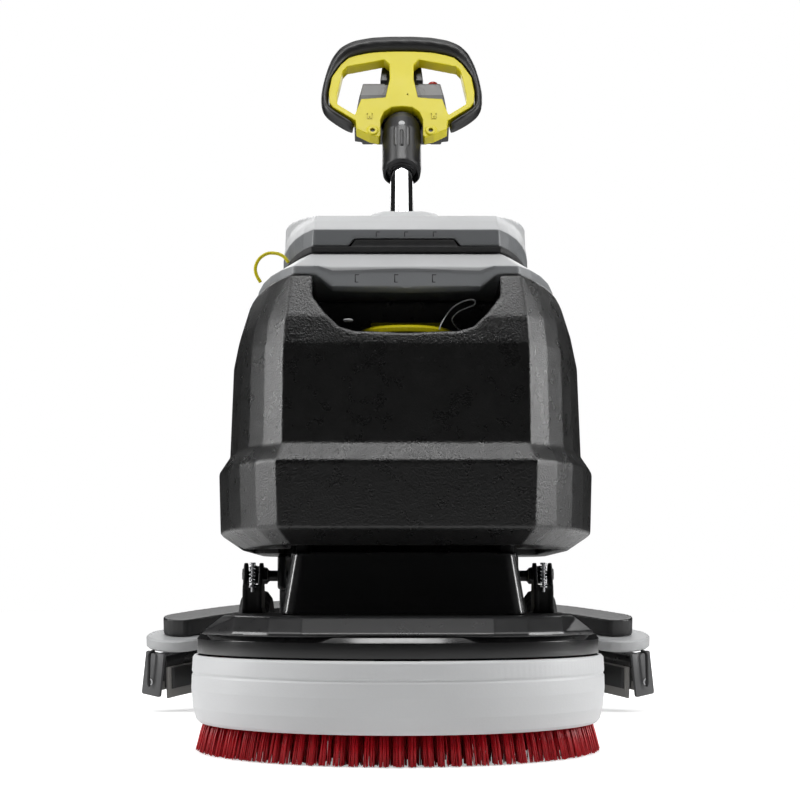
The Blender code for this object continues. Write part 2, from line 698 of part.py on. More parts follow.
def neck_ring(z, half, front, rear):
    c = 0.026
    right = []
    for i in range(5):
        a = math.pi / 2 * i / 4
        right.append((half - c + c * math.sin(a), front + c - c * math.cos(a)))
    for i in range(4):
        a = math.pi / 2 * i / 3
        right.append((half - c + c * math.cos(a), rear - c + c * math.sin(a)))
    return [Vector((0.007 + x, y, z)) for x, y in mirrored(right)]


def deck_bracket(deck, side, word):
    """A folded bracket with two ears, and the bolt that the lift arm turns on."""
    low, high = CAP_TOP + GAP, 0.2370
    ear = [(-0.236, low), (-0.236, 0.200), (-0.217, high - 0.004), (-0.209, high)]
    ear += [(-0.201, high), (-0.193, high - 0.004), (-0.178, 0.200), (-0.178, low)]
    faces = (side * 0.2005, side * 0.2055)
    bracket = prism(f"deck_bracket_{word}", ear, *faces, "black_steel", deck, axis="x")
    join(bracket, prism(f"join_inner_ear_{word}", ear, side * 0.1800, side * 0.1850, None, None, axis="x"))
    web = mirrored([(0.012, 0.208), (0.013, low)])
    web = prism(f"join_web_{word}", [(x + side * 0.193, z) for x, z in web], -0.2355, -0.2310, None)
    foot_low = (min(side * 0.1790, side * 0.2065), -0.2355, low)
    foot_high = (max(side * 0.1790, side * 0.2065), -0.1785, low + 0.005)
    join(bracket, web, block(f"join_foot_{word}", foot_low, foot_high, None))
    for tag, start, end, radius, sides in (
        ("bolt", 0.178, 0.206, 0.0050, 16),
        ("head", 0.2045, 0.2080, 0.0085, 6),
        ("nut", 0.1745, 0.1815, 0.0085, 6),
    ):
        at = [(side * x, DECK_PIVOT_Y, ARM_Z) for x in (start, end)]
        join(bracket, rod(f"join_{tag}_{word}", *at, radius, None, None, sides))


def lift_arms(arm):
    """Both lift arms and the shaft that joins them, one weldment."""
    ends = [(x, ARM_PIVOT_Y, ARM_Z) for x in (-0.2000, 0.2000)]
    shaft = rod("lift_arm_frame", *ends, 0.0080, "black_steel", arm)
    for side in (-1, 1):
        outline = []
        for centre, start in ((DECK_PIVOT_Y, 90), (ARM_PIVOT_Y, -90)):
            for i in range(7):
                a = math.radians(start + 30 * i)
                outline.append((centre + 0.0120 * math.cos(a), ARM_Z + 0.0120 * math.sin(a)))
        bar = prism(f"join_arm_{side}", outline, side * 0.1880, side * 0.1980, None, axis="x")
        join(shaft, bar)
        ends = [(side * x, DECK_PIVOT_Y, ARM_Z) for x in (0.17, 0.23)]
        cut(shaft, rod(f"cut_arm_{side}", *ends, 0.0062, None))
    return shaft


def brush(spin):
    at = Vector((0, BRUSH_Y, 0))
    disc = [(0, 0.0700), (0.040, 0.0700), (0.045, 0.0450), (0.2450, 0.0450)]
    disc += [(0.2450, 0.0600), (0.070, 0.0700), (0.066, 0.1060)]
    disc += [(0.030, 0.1060), (0.030, 0.1195), (0, 0.1195)]
    turned("brush_disc", at, disc, "black_plastic", spin, sides=32)
    bristles = [(0.090, 0.0), (BRUSH_RADIUS, 0.0), (0.2490, 0.0340), (0.2420, 0.0446), (0.090, 0.0446)]
    turned("brush_bristles", at, bristles, "red_bristle", spin, sides=32)


# ---------------------------------------------------------------- wheels
def main_wheel(spin, side, word):
    at = (side * WHEEL_X, AXLE_Y, WHEEL_RADIUS)
    w = WHEEL_WIDTH / 2
    tyre = [(0.0733, -w * 0.8), (0.0900, -w), (WHEEL_RADIUS, -w * 0.6)]
    tyre += [(r, -h) for r, h in reversed(tyre)]
    turned(f"tyre_{word}", at, tyre, "black_rubber", spin, axis="x")
    profile = [(AXLE_RADIUS + GAP, -w * 0.9), (0.026, -w * 0.9), (0.030, -w * 0.35)]
    profile += [(0.056, -w * 0.35), (0.062, -w * 0.75), (0.0728, -w * 0.75)]
    profile += [(r, -h) for r, h in reversed(profile)]
    turned(f"wheel_rim_{word}", at, profile, "grey_plastic", spin, axis="x")


def caster(swivel, spin, side, word):
    x, y = side * CASTER_X, CASTER_Y
    low, high = (x - 0.020, y - 0.022, CASTER_TOP - 0.006), (x + 0.020, y + 0.040, CASTER_TOP)
    fork = block(f"caster_fork_{word}", low, high, "bright_steel", swivel)
    leg_top = CASTER_TOP - 0.002
    leg = [(y - 0.012, leg_top), (y + 0.020, 0.028), (y + 0.040, 0.028), (y + 0.040, leg_top)]
    for tag, a, b in (("a", -0.020, -0.0165), ("b", 0.0165, 0.020)):
        join(fork, prism(f"join_leg_{tag}_{word}", leg, x + a, x + b, None, axis="x"))
    join(fork, rod(f"join_swivel_{word}", (x, y, leg_top), (x, y, 0.1290), 0.0080, None))
    ends = [(x + h, y + CASTER_TRAIL, CASTER_RADIUS) for h in (-0.022, 0.022)]
    join(fork, rod(f"join_axle_{word}", *ends, 0.0050, None))
    wheel = [(0.0056, -0.0150), (0.034, -0.0150), (CASTER_RADIUS, -0.0110)]
    wheel += [(r, -h) for r, h in reversed(wheel)]
    at = (x, y + CASTER_TRAIL, CASTER_RADIUS)
    turned(f"caster_wheel_{word}", at, wheel, "grey_rubber", spin, axis="x")


# ---------------------------------------------------------------- the squeegee, modelled lowered
def squeegee(lift):
    beam = [(-0.030, 0.0980), (0.030, 0.0980), (0.030, 0.1260), (-0.030, 0.1260)]
    carrier = arc_sweep("squeegee_carrier", beam, 0.362, 17, "dark_plastic", lift, 0.030)
    for side in (-1, 1):
        link = [(0.2020, 0.0900), (0.5050, 0.0990), (0.5050, 0.1250), (0.2150, 0.1140), (0.2020, 0.1100)]
        flank = prism(f"join_link_{side}", link, side * 0.0590, side * 0.0680, None, lift, axis="x")
        join(carrier, flank)
    _, y, z = SQUEEGEE_PIVOT
    pin_hole = rod("cut_link_pin", (-0.1, y, z), (0.1, y, z), 0.0067, None, lift)
    bore = [(0, 0.05), (0.0240, 0.05), (0.0240, 0.20), (0, 0.20)]
    cut(carrier, pin_hole, turned("cut_spigot_hole", (0, ARC_MID, 0), bore, None, lift))
    squeegee_body(lift)
    for name, low, high in (
        ("squeegee_blade_front", -0.0270, -0.0226),
        ("squeegee_blade_rear", 0.0226, 0.0270),
    ):
        section = [(low, 0.0), (high, 0.0), (high, 0.0520), (low, 0.0520)]
        arc_sweep(name, section, BODY_END_X, 17, "grey_rubber", lift)
    return carrier


def squeegee_body(lift):
    """The suction channel, open below, with its spigot, its two studs and its wheel brackets."""
    right = [(0.0150, 0.0680), (0.0222, 0.0600), (0.0222, 0.0160), (0.0170, 0.0160), (0.0170, 0.0560)]
    section = [(-x, z) for x, z in reversed(right)] + right
    body = arc_sweep("squeegee_body", section, BODY_END_X, 17, "black_plastic", lift)
    spigot = [(0, 0.0600), (0.0205, 0.0600), (0.0205, 0.1650), (0, 0.1650)]
    bore = [(0, 0.05), (0.0160, 0.05), (0.0160, 0.20), (0, 0.20)]
    join(body, turned("join_spigot", (0, ARC_MID, 0), spigot, None, lift))
    cut(body, turned("cut_spigot", (0, ARC_MID, 0), bore, None, lift))
    for side in (-1, 1):
        x, y = arc_point(side * STUD_X)
        stud = rod(f"join_stud_pad_{side}", (x, y, 0.0650), (x, y, 0.0975), 0.0100, None, lift)
        x, y = support_wheel_at(side)
        low, high = (x - 0.0050, y - 0.0100, 0.0560), (x + 0.0050, y + 0.0620, 0.0620)
        arm = block(f"join_wheel_arm_{side}", low, high, None, lift)
        low, high = (x - 0.0050, y - 0.0100, 0.0220), (x + 0.0050, y + 0.0100, 0.0600)
        hang = block(f"join_wheel_hang_{side}", low, high, None, lift)
        ends = [(x, y, 0.0290), (x - side * 0.0260, y, 0.0290)]
        pin = rod(f"join_wheel_pin_{side}", *ends, 0.0040, None, lift)
        join(body, stud, arm, hang, pin)
    return body


def support_wheel_at(side):
    """Where the bracket of a support wheel hangs, in front of the suction channel."""
    x, y = arc_point(side * SUPPORT_X, -0.0200)
    return x, y - 0.0560


def squeegee_ends(lift, carrier):
    """End caps, deflector rollers, support wheels and knobs, one of each at either side."""
    for side, word in ((-1, "left"), (1, "right")):
        angle = math.asin(ARC_END_X / ARC_RADIUS)
        x, y = arc_point(side * (ARC_END_X - 0.0038))
        low, high = (0.0002, -0.0280, 0.0035), (0.0052, 0.0250, 0.0755)
        cap = block(f"end_cap_{word}", low, high, "dark_plastic", None, 0.0012)
        turn = Matrix.Rotation(-angle, 4, "Z") if side > 0 else Matrix.Rotation(math.pi + angle, 4, "Z")
        cap.data.transform(Matrix.Translation((x, y, 0)) @ turn)
        attach(cap, lift)
        x, y = arc_point(side * ROLLER_X)
        roll = rig(f"roller_spin_{word}", Vector((x, y, 0.087)), lift)
        disc = [(0.0062, 0.0772), (0.048, 0.0772), (0.051, 0.0800)]
        disc += [(0.051, 0.0940), (0.048, 0.0968), (0.0062, 0.0968)]
        turned(f"deflector_roller_{word}", (x, y, 0), disc, "mid_grey_plastic", roll)
        stud = rod(f"join_roller_stud_{word}", (x, y, 0.0758), (x, y, 0.1000), 0.0055, None, lift)
        head = rod(f"join_roller_head_{word}", (x, y, 0.0760), (x, y, 0.0769), 0.0090, None, lift)
        join(carrier, stud, head)
        x, y = support_wheel_at(side)
        centre = Vector((x - side * 0.0160, y, 0.0290))
        wheel = rig(f"support_spin_{word}", centre, lift)
        tread = [(0.0046, -0.0080), (0.024, -0.0080), (0.0285, -0.0050)]
        tread += [(r, -h) for r, h in reversed(tread)]
        turned(f"support_wheel_{word}", centre, tread, "grey_rubber", wheel, axis="x")
        x, y = arc_point(side * STUD_X)
        knob = rig(f"knob_turn_{word}", Vector((x, y, 0.13)), lift)
        star_knob(f"squeegee_knob_{word}", x, y, knob)


def star_knob(name, x, y, empty):
    """A knob with five lobes."""
    points = []
    for i in range(30):
        a = 2 * math.pi * i / 30
        reach = 0.0200 + 0.0030 * math.cos(5 * a)
        points.append((x + reach * math.cos(a), y + reach * math.sin(a)))
    prism(name, points, 0.1265, 0.1480, "yellow_plastic", empty, axis="z")


# ---------------------------------------------------------------- the handle, modelled upright
GRIP_OUTLINE = [  # the ring's outer line, x and height above its bottom, from the top down one side
    (0.0, 0.2008),
    (0.035, 0.2000),
    (0.062, 0.1968),
    (0.090, 0.1885),
    (0.109, 0.1730),
    (0.1205, 0.1500),
    (0.1285, 0.1200),
    (0.1334, 0.0880),
    (0.1320, 0.0640),
    (0.1215, 0.0470),
    (0.0830, 0.0200),
]
FRAME_FOOT = [  # the frame's lower edge, from the grip's end round to the arch over the column
    (0.0735, 0.0160),
    (0.0520, 0.0040),
    (0.0370, 0.0000),
    (0.0345, 0.0040),
    (0.0345, 0.0340),
    (0.0290, 0.0490),
    (0.0170, 0.0580),
    (0.0, 0.0600),
]
WINDOW = [
    (0.0285, 0.1520),
    (0.0900, 0.1380),
    (0.0970, 0.1290),
    (0.1055, 0.0830),
    (0.1050, 0.0640),
    (0.0760, 0.0430),
    (0.0660, 0.0740),
    (0.0265, 0.0770),
    (0.0195, 0.1140),
    (0.0200, 0.1430),
]


def grip_share(height):
    """0 down the sides of the grip, 1 along its top."""
    return min(1.0, max(0.0, (height - 0.120) / 0.070))


def grip_half_width(height):
    """Half the grip's width in the ring's plane: thin at the sides, thick along the top."""
    return 0.0070 + 0.0090 * grip_share(height)


def grip_line():
    """The points of the grip's outer line, each with the way inward and half the grip's width there."""
    outline = [(-x, z) for x, z in reversed(GRIP_OUTLINE[1:])] + GRIP_OUTLINE
    line = [Vector((x, 0, z)) for x, z in outline]
    found = []
    for i, point in enumerate(line):
        along = (line[min(i + 1, len(line) - 1)] - line[max(i - 1, 0)]).normalized()
        found.append((point, Vector((along.z, 0, -along.x)), grip_half_width(point.z)))
    return found


def grip(handle):
    """The rubber grip: a flattened round section carried round the ring's outer line."""
    rings = []
    for point, inward, half in grip_line():
        share = grip_share(point.z)
        centre = Vector((COLUMN.x, COLUMN.y - 0.010 - 0.006 * share, RING_BOTTOM)) + point + inward * half
        depth = 0.0165 + 0.002 * share
        ring = []
        for k in range(8):
            a = 2 * math.pi * k / 8
            ring.append(centre + inward * half * math.cos(a) + Vector((0, depth * math.sin(a), 0)))
        rings.append(ring)
    return loft("grip_ring", rings, "black_rubber", handle)


def in_ring(points):
    """Moves points of the handle's plane to where the handle is."""
    return [(x + COLUMN.x, z + RING_BOTTOM) for x, z in points]


def handle_frame(handle):
    """The yellow frame, which fits inside the grip, with its two windows."""
    front, rear = COLUMN.y - 0.0240, COLUMN.y - 0.0020
    inner = [point + inward * (2 * half + GAP) for point, inward, half in grip_line()]
    top = [(p.x, p.z) for p in inner]
    right = FRAME_FOOT
    left = [(-x, z) for x, z in reversed(FRAME_FOOT[:-1])]
    frame = prism("handle_frame", in_ring(top + right + left), front, rear, "yellow_plastic", handle)
    for side in (-1, 1):
        hole = in_ring([(side * x, z) for x, z in WINDOW])
        cut(frame, prism(f"cut_window_{side}", hole, front - 0.02, rear + 0.02, None, handle))
        bolt = (COLUMN.x + side * 0.0470, COLUMN.y - 0.05, RING_BOTTOM + 0.0120)
        bottom = (bolt[0], COLUMN.y - 0.0120, bolt[2])
        cut(frame, rod(f"cut_frame_bolt_{side}", bolt, bottom, 0.0030, None, handle, sides=8))
    return frame


def clamp_sleeve(handle):
    """The sleeve that grips the column, with a bore for the tube."""
    at = Vector((COLUMN.x, COLUMN.y, RING_BOTTOM))
    bore = TUBE_RADIUS + GAP
    sleeve = [(bore, -0.0600), (0.0290, -0.0600), (0.0318, -0.0450), (0.0318, 0.0180)]
    sleeve += [(0.0275, 0.0400), (0.0220, 0.0510), (bore, 0.0510)]
    return turned("clamp_sleeve", at, sleeve, "dark_plastic", handle)


def control_panel(handle):
    """The console behind the frame, with its knob, key, button and the two drive levers."""
    x, y, z = COLUMN.x, COLUMN.y, RING_BOTTOM
    face = mirrored([(0.040, 0.121), (0.064, 0.121), (0.070, 0.095), (0.078, 0.042), (0.040, 0.036)])
    face = [(u + x, v + z) for u, v in face]
    panel = prism("control_panel", face, y - 0.0014, y + 0.0500, "black_plastic", handle)
    slope = [(y + 0.02, z + 0.16), (y + 0.028, z + 0.125), (y + 0.0506, z + 0.055)]
    slope += [(y + 0.09, z + 0.055), (y + 0.09, z + 0.16)]
    cut(panel, prism("cut_panel_slope", slope, -0.3, 0.3, None, handle, axis="x"))
    bore = [(0, -0.1), (0.0325, -0.1), (0.0325, 0.0545), (0, 0.0545)]
    cut(panel, turned("cut_panel_bore", (x, y, z), bore, None, handle))
    key = rig("key_turn", Vector((x - 0.050, y + 0.0406, z + 0.088)), handle)
    knob = rig("program_turn", Vector((x + 0.050, y + 0.0406, z + 0.088)), handle)
    tilt = math.atan2(0.0226, 0.070)
    out = Vector((0, math.cos(tilt), math.sin(tilt)))
    for name, empty, radius, length, colour in (
        ("key_switch", key, 0.0080, 0.0120, "bright_steel"),
        ("program_knob", knob, 0.0130, 0.0140, "dark_plastic"),
    ):
        base = Vector(empty["pivot"])
        rod(name, base + out * 0.0004, base + out * length, radius, colour, empty, sides=24, shrink=0.9)
    button = Vector((x + 0.052, y + 0.0120, z + 0.121))
    stop = rig("stop_press", button, handle)
    up = Vector((0, 0, 1))
    rod("stop_button", button - up * 0.0055, button + up * 0.0100, 0.0080, "red_plastic", stop, sides=16)
    ends = (button - up * 0.0100, button + up * 0.02)
    cut(panel, rod("cut_button_well", *ends, 0.0086, None, handle, sides=16))
    for side, word in ((-1, "left"), (1, "right")):
        hinge = rig(f"drive_lever_hinge_{word}", Vector((x, y + 0.0035, z + 0.1600)), handle)
        paddle = [(0.0200, 0.1600), (0.0320, 0.1600), (0.0355, 0.1270), (0.0220, 0.1270)]
        paddle = [(side * u + x, v + z) for u, v in paddle]
        prism(f"drive_lever_{word}", paddle, y - 0.0014, y + 0.0120, "black_plastic", hinge)


def column_tube(root_lean):
    """The chrome column, fixed in the rear housing."""
    bore = TUBE_RADIUS - 0.002
    tube = [(bore, -0.0850), (TUBE_RADIUS, -0.0850), (TUBE_RADIUS, 0.2900), (bore, 0.2900)]
    return turned("column_tube", COLUMN, tube, "chrome", root_lean)


# ---------------------------------------------------------------- the operator's lever and pedal
def lever_and_pedal(root):
    lever = rig("squeegee_lever_pivot", LEVER_PIVOT, root)
    x, y, z = LEVER_PIVOT
    blade = [(y - 0.006, z - 0.012), (y + 0.010, z - 0.012), (y + 0.026, z + 0.090), (y + 0.016, z + 0.092)]
    arm = prism("squeegee_lever", blade, x - 0.0030, x + 0.0030, "black_steel", lever, axis="x")
    grip_low, grip_high = Vector((x, y + 0.0205, z + 0.086)), Vector((x, y + 0.0300, z + 0.1500))
    join(arm, rod("join_lever_grip", grip_low, grip_high, 0.0110, None, lever, sides=12, shrink=0.85))
    cut(arm, rod("cut_lever_pin", (x - 0.02, y, z), (x + 0.02, y, z), 0.0042, None, lever, sides=12))
    pedal = rig("pedal_pivot", PEDAL_PIVOT, root)
    px, py, pz = PEDAL_PIVOT
    plate = [(py - 0.006, pz - 0.006), (py + 0.040, pz - 0.014), (py + 0.078, pz - 0.014)]
    plate += [(py + 0.078, pz - 0.006), (py + 0.042, pz - 0.006)]
    plate += [(py + 0.002, pz + 0.008), (py - 0.006, pz + 0.006)]
    foot = prism("deck_pedal", plate, px - 0.0050, px + 0.0050, "black_steel", pedal, axis="x")
    low, high = (px - 0.0350, py + 0.040, pz - 0.015), (px + 0.0350, py + 0.084, pz - 0.005)
    join(foot, block("join_pad", low, high, None, pedal))
    cut(foot, rod("cut_pedal_pin", (px - 0.02, py, pz), (px + 0.02, py, pz), 0.0042, None, pedal, sides=12))


# ---------------------------------------------------------------- the two cords that the machine holds
def cord(name, points, radius, colour, empty):
    curve = bpy.data.curves.new(name, "CURVE")
    curve.dimensions = "3D"
    curve.bevel_depth = radius
    curve.bevel_resolution = 2
    curve.use_fill_caps = True
    line = smooth_route(points, radius * 5)
    spline = curve.splines.new("POLY")
    spline.points.add(len(line) - 1)
    for place, point in zip(spline.points, line):
        place.co = (*point, 1.0)
    curve.materials.append(material(colour))
    obj = bpy.data.objects.new(name, curve)
    bpy.context.scene.collection.objects.link(obj)
    return attach(obj, empty)


STRAP_ROUTE = [
    (-0.1405, -0.3200, 0.6200),
    (-0.1460, -0.3180, 0.6275),
    (-0.1555, -0.3150, 0.6325),
    (-0.1680, -0.3120, 0.6330),
    (-0.1785, -0.3100, 0.6265),
    (-0.1835, -0.3100, 0.6155),
    (-0.1820, -0.3105, 0.6055),
    (-0.1768, -0.3107, 0.5962),
]
STRAP_RADIUS = 0.0022

TETHER_ROUTE = [  # from the cap's rim up to the knot, out round the loop and down to the recess
    (TANK_X + 0.0405, -0.4168, 0.5185),
    (TANK_X + 0.0430, -0.4155, 0.5260),
    (TANK_X + 0.0510, -0.4090, 0.5400),
    (TANK_X + 0.0590, -0.4030, 0.5495),
    (TANK_X + 0.0700, -0.4000, 0.5560),
    (TANK_X + 0.0800, -0.3985, 0.5590),
    (TANK_X + 0.0850, -0.3975, 0.5572),
    (TANK_X + 0.0840, -0.3965, 0.5528),
    (TANK_X + 0.0740, -0.3950, 0.5485),
    (TANK_X + 0.0640, -0.3925, 0.5440),
    (TANK_X + 0.0570, -0.3880, 0.5350),
    (TANK_X + 0.0660, -0.3800, 0.5240),
    (TANK_X + 0.0780, -0.3700, 0.5200),
]
TETHER_RADIUS = 0.0008


def build():
    for obj in list(bpy.data.objects):
        bpy.data.objects.remove(obj)
    root = rig("chassis", Vector((0, 0, 0)))
    fresh_tank(root)
    filler(root)
    chassis(root)
    batteries(root)
    axle_ends = [(x, AXLE_Y, WHEEL_RADIUS) for x in (-0.2440, 0.2440)]
    rod("main_axle", *axle_ends, AXLE_RADIUS, "bright_steel", root)

    tilt = rig("waste_tank_hinge", TANK_HINGE, root)
    waste_tank(tilt)
    gasket(tilt)
    tank_fittings(tilt)
    lid(rig("lid_hinge", LID_HINGE, tilt))

    rear_housing(root)
    hoses(root)
    suction_hose(root)

    arm = rig("lift_arm_pivot", Vector((0, ARM_PIVOT_Y, ARM_Z)), root)
    lift_arms(arm)
    deck = rig("deck_pivot", Vector((0, DECK_PIVOT_Y, ARM_Z)), arm)
    deck_pieces(deck)
    brush(rig("brush_spin", Vector((0, BRUSH_Y, 0.1)), deck))

    for side, word in ((-1, "left"), (1, "right")):
        wheel_at = Vector((side * WHEEL_X, AXLE_Y, WHEEL_RADIUS))
        main_wheel(rig(f"wheel_spin_{word}", wheel_at, root), side, word)
        swivel = rig(f"caster_swivel_{word}", Vector((side * CASTER_X, CASTER_Y, CASTER_TOP)), root)
        caster_at = Vector((side * CASTER_X, CASTER_Y + CASTER_TRAIL, CASTER_RADIUS))
        caster(swivel, rig(f"caster_spin_{word}", caster_at, swivel), side, word)

    lift = rig("squeegee_lift", SQUEEGEE_PIVOT, root, SQUEEGEE_RAISED)
    squeegee_ends(lift, squeegee(lift))

    lean = rig("column_lean", COLUMN, root, -COLUMN_LEAN)
    column_tube(lean)
    handle = rig("handle_slide", COLUMN, root, -COLUMN_LEAN)
    grip(handle)
    handle_frame(handle)
    clamp_sleeve(handle)
    control_panel(handle)

    lever_and_pedal(root)
    cord("side_strap", STRAP_ROUTE, STRAP_RADIUS, "yellow_plastic", tilt)
    cord("cap_tether", TETHER_ROUTE, TETHER_RADIUS, "white_rubber", root)


build()
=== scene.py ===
"""The looks of the walk-behind floor scrubber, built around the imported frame.

Metres, +Z up, the frame's own coordinates. Most mouldings start from a copy of their CAD node,
which is cut, added to and rounded off by a fine voxel remesh. Round pieces are turned anew.
"""

import json
import random
from math import asin, atan2, cos, hypot, pi, radians, sin, sqrt, tan

import bmesh
import bpy
from mathutils import Matrix, Vector
from mathutils.bvhtree import BVHTree

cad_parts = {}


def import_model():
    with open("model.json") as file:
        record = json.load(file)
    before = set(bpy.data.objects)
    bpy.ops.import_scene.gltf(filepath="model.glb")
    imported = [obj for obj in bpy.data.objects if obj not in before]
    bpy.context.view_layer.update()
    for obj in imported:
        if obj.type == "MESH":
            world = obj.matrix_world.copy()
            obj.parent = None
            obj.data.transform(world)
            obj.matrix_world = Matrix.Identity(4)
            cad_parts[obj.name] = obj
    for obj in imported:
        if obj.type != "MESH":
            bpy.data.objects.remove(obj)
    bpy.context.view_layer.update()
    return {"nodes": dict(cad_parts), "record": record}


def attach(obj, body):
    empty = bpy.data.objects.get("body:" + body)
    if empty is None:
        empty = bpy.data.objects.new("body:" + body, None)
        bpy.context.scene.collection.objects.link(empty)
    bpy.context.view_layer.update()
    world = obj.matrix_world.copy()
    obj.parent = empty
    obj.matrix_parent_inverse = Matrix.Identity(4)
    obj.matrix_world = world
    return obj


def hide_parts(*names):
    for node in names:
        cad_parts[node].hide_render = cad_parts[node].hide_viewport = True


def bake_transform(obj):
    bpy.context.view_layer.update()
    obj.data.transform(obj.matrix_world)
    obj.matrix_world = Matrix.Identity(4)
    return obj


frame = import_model()
MM = 0.001
scene = bpy.context.scene
SIDES = ((-1, "left"), (1, "right"))

TANK_X = 0.01  # the tanks sit a little to one side of the brush deck
CAP_AT = Vector((TANK_X, -0.3665, 0.5))  # the filler cap's axis, at the recess's floor
DECK_AT = Vector((0.0, -0.308, 0.0))  # the brush's axis


# ---------------- camera, light and floor
def camera():
    data = bpy.data.cameras.new("camera")
    data.lens = 77.4
    data.sensor_width = 36.0
    data.shift_y = 0.15
    made = link("camera", data)
    made.location = (0.0, -2.508, 0.198)
    made.rotation_euler = (radians(92.4), 0.0, radians(-0.067))
    scene.camera = made


def softbox(name, at, target, size, power):
    data = bpy.data.lights.new(name, "AREA")
    data.shape = "RECTANGLE"
    data.size, data.size_y = size
    data.energy = power
    made = link(name, data)
    made.location = at
    made.rotation_euler = (Vector(target) - Vector(at)).to_track_quat("-Z", "Y").to_euler()


def lights():
    middle = (0.0, -0.1, 0.45)
    softbox("top", (0.0, 0.3, 2.6), (0.0, 0.0, 0.3), (1.4, 1.4), 10)
    softbox("front_top", (0.0, -1.45, 3.1), (0.0, -0.1, 0.5), (2.0, 0.7), 52)
    softbox("back_top", (0.0, 2.7, 2.2), middle, (3.0, 1.4), 38)
    softbox("left_high", (-1.6, -0.5, 2.3), (0.0, 0.1, 0.8), (1.0, 1.2), 16)
    softbox("right_high", (1.6, -0.5, 2.3), (0.0, 0.1, 0.8), (1.0, 1.2), 12)
    softbox("left_strip", (-1.9, -0.02, 0.9), middle, (0.45, 1.2), 20)
    softbox("right_strip", (1.9, -0.02, 0.9), middle, (0.45, 1.2), 22)


def world():
    """A dim room that fills the shadows, and plain white where it shows behind the machine."""
    made = bpy.data.worlds.new("world")
    scene.world = made
    made.use_nodes = True
    tree = made.node_tree
    tree.nodes.clear()
    room = add(tree, "Background", {"Color": (0.98, 0.99, 1.0, 1), "Strength": 0.015})
    plain = add(tree, "Background", {"Color": (1, 1, 1, 1), "Strength": 1.0})
    seen = add(tree, "LightPath").outputs["Is Camera Ray"]
    both = add(tree, "MixShader", {0: seen, 1: room.outputs[0], 2: plain.outputs[0]})
    add(tree, "OutputWorld", {"Surface": both.outputs[0]})
    scene.view_settings.view_transform = "Standard"


def floor():
    """Plain pale paper, lit evenly far from the machine so that it meets the background unseen."""
    bm = bmesh.new()
    bmesh.ops.create_grid(bm, x_segments=1, y_segments=1, size=14.0)
    made = link("studio_floor", to_mesh("studio_floor", bm))
    paper = bpy.data.materials.new("studio_paper")
    paper.use_nodes = True
    tree = paper.node_tree
    shader = tree.nodes["Principled BSDF"]
    grain = add(tree, "TexNoise", {"Scale": 6.0}).outputs[0]
    tree.links.new(ranged(tree, grain, 0.0, 1.0, 0.86, 0.9), shader.inputs["Base Color"])
    shader.inputs["Roughness"].default_value = 0.9
    shader.inputs["Emission Color"].default_value = (1, 1, 1, 1)
    place = add(tree, "TexCoord").outputs["Object"]
    reach = add(tree, "VectorMath", {0: place}, operation="LENGTH").outputs["Value"]
    seen = add(tree, "LightPath").outputs["Is Camera Ray"]
    glow = maths(tree, "MULTIPLY", ranged(tree, reach, 0.7, 2.4, 0.4, 1.0), seen)
    tree.links.new(glow, shader.inputs["Emission Strength"])
    made.data.materials.append(paper)
    made.location.z = -0.2 * MM


# ---------------- material nodes
def add(tree, kind, inputs=None, **settings):
    """Adds a shader node. An input is a value, or the output socket that feeds it."""
    node = tree.nodes.new("ShaderNode" + kind)
    for key, value in settings.items():
        setattr(node, key, value)
    for key, value in (inputs or {}).items():
        if isinstance(value, bpy.types.NodeSocket):
            tree.links.new(value, node.inputs[key])
        else:
            node.inputs[key].default_value = value
    return node


def maths(tree, operation, *values):
    return add(tree, "Math", dict(enumerate(values)), operation=operation).outputs[0]


def ranged(tree, value, low, high, to_low=0.0, to_high=1.0, **settings):
    """Carries low..high over to to_low..to_high, and holds the value at its ends."""
    inputs = {"Value": value, "From Min": low, "From Max": high, "To Min": to_low, "To Max": to_high}
    return add(tree, "MapRange", inputs, **settings).outputs[0]


def mixed(tree, factor, low, high):
    return add(tree, "Mix", {"Factor": factor, 6: low, 7: high}, data_type="RGBA").outputs[2]


def srgb(red, green, blue):
    """A colour as seen on a screen, 0 to 255, as the linear colour that a shader takes."""
    parts = [value / 255 for value in (red, green, blue)]
    return tuple(p / 12.92 if p < 0.04045 else ((p + 0.055) / 1.055) ** 2.4 for p in parts)


def shade(colour, factor=1.0):
    return (*(min(1.0, c * factor) for c in colour), 1.0)


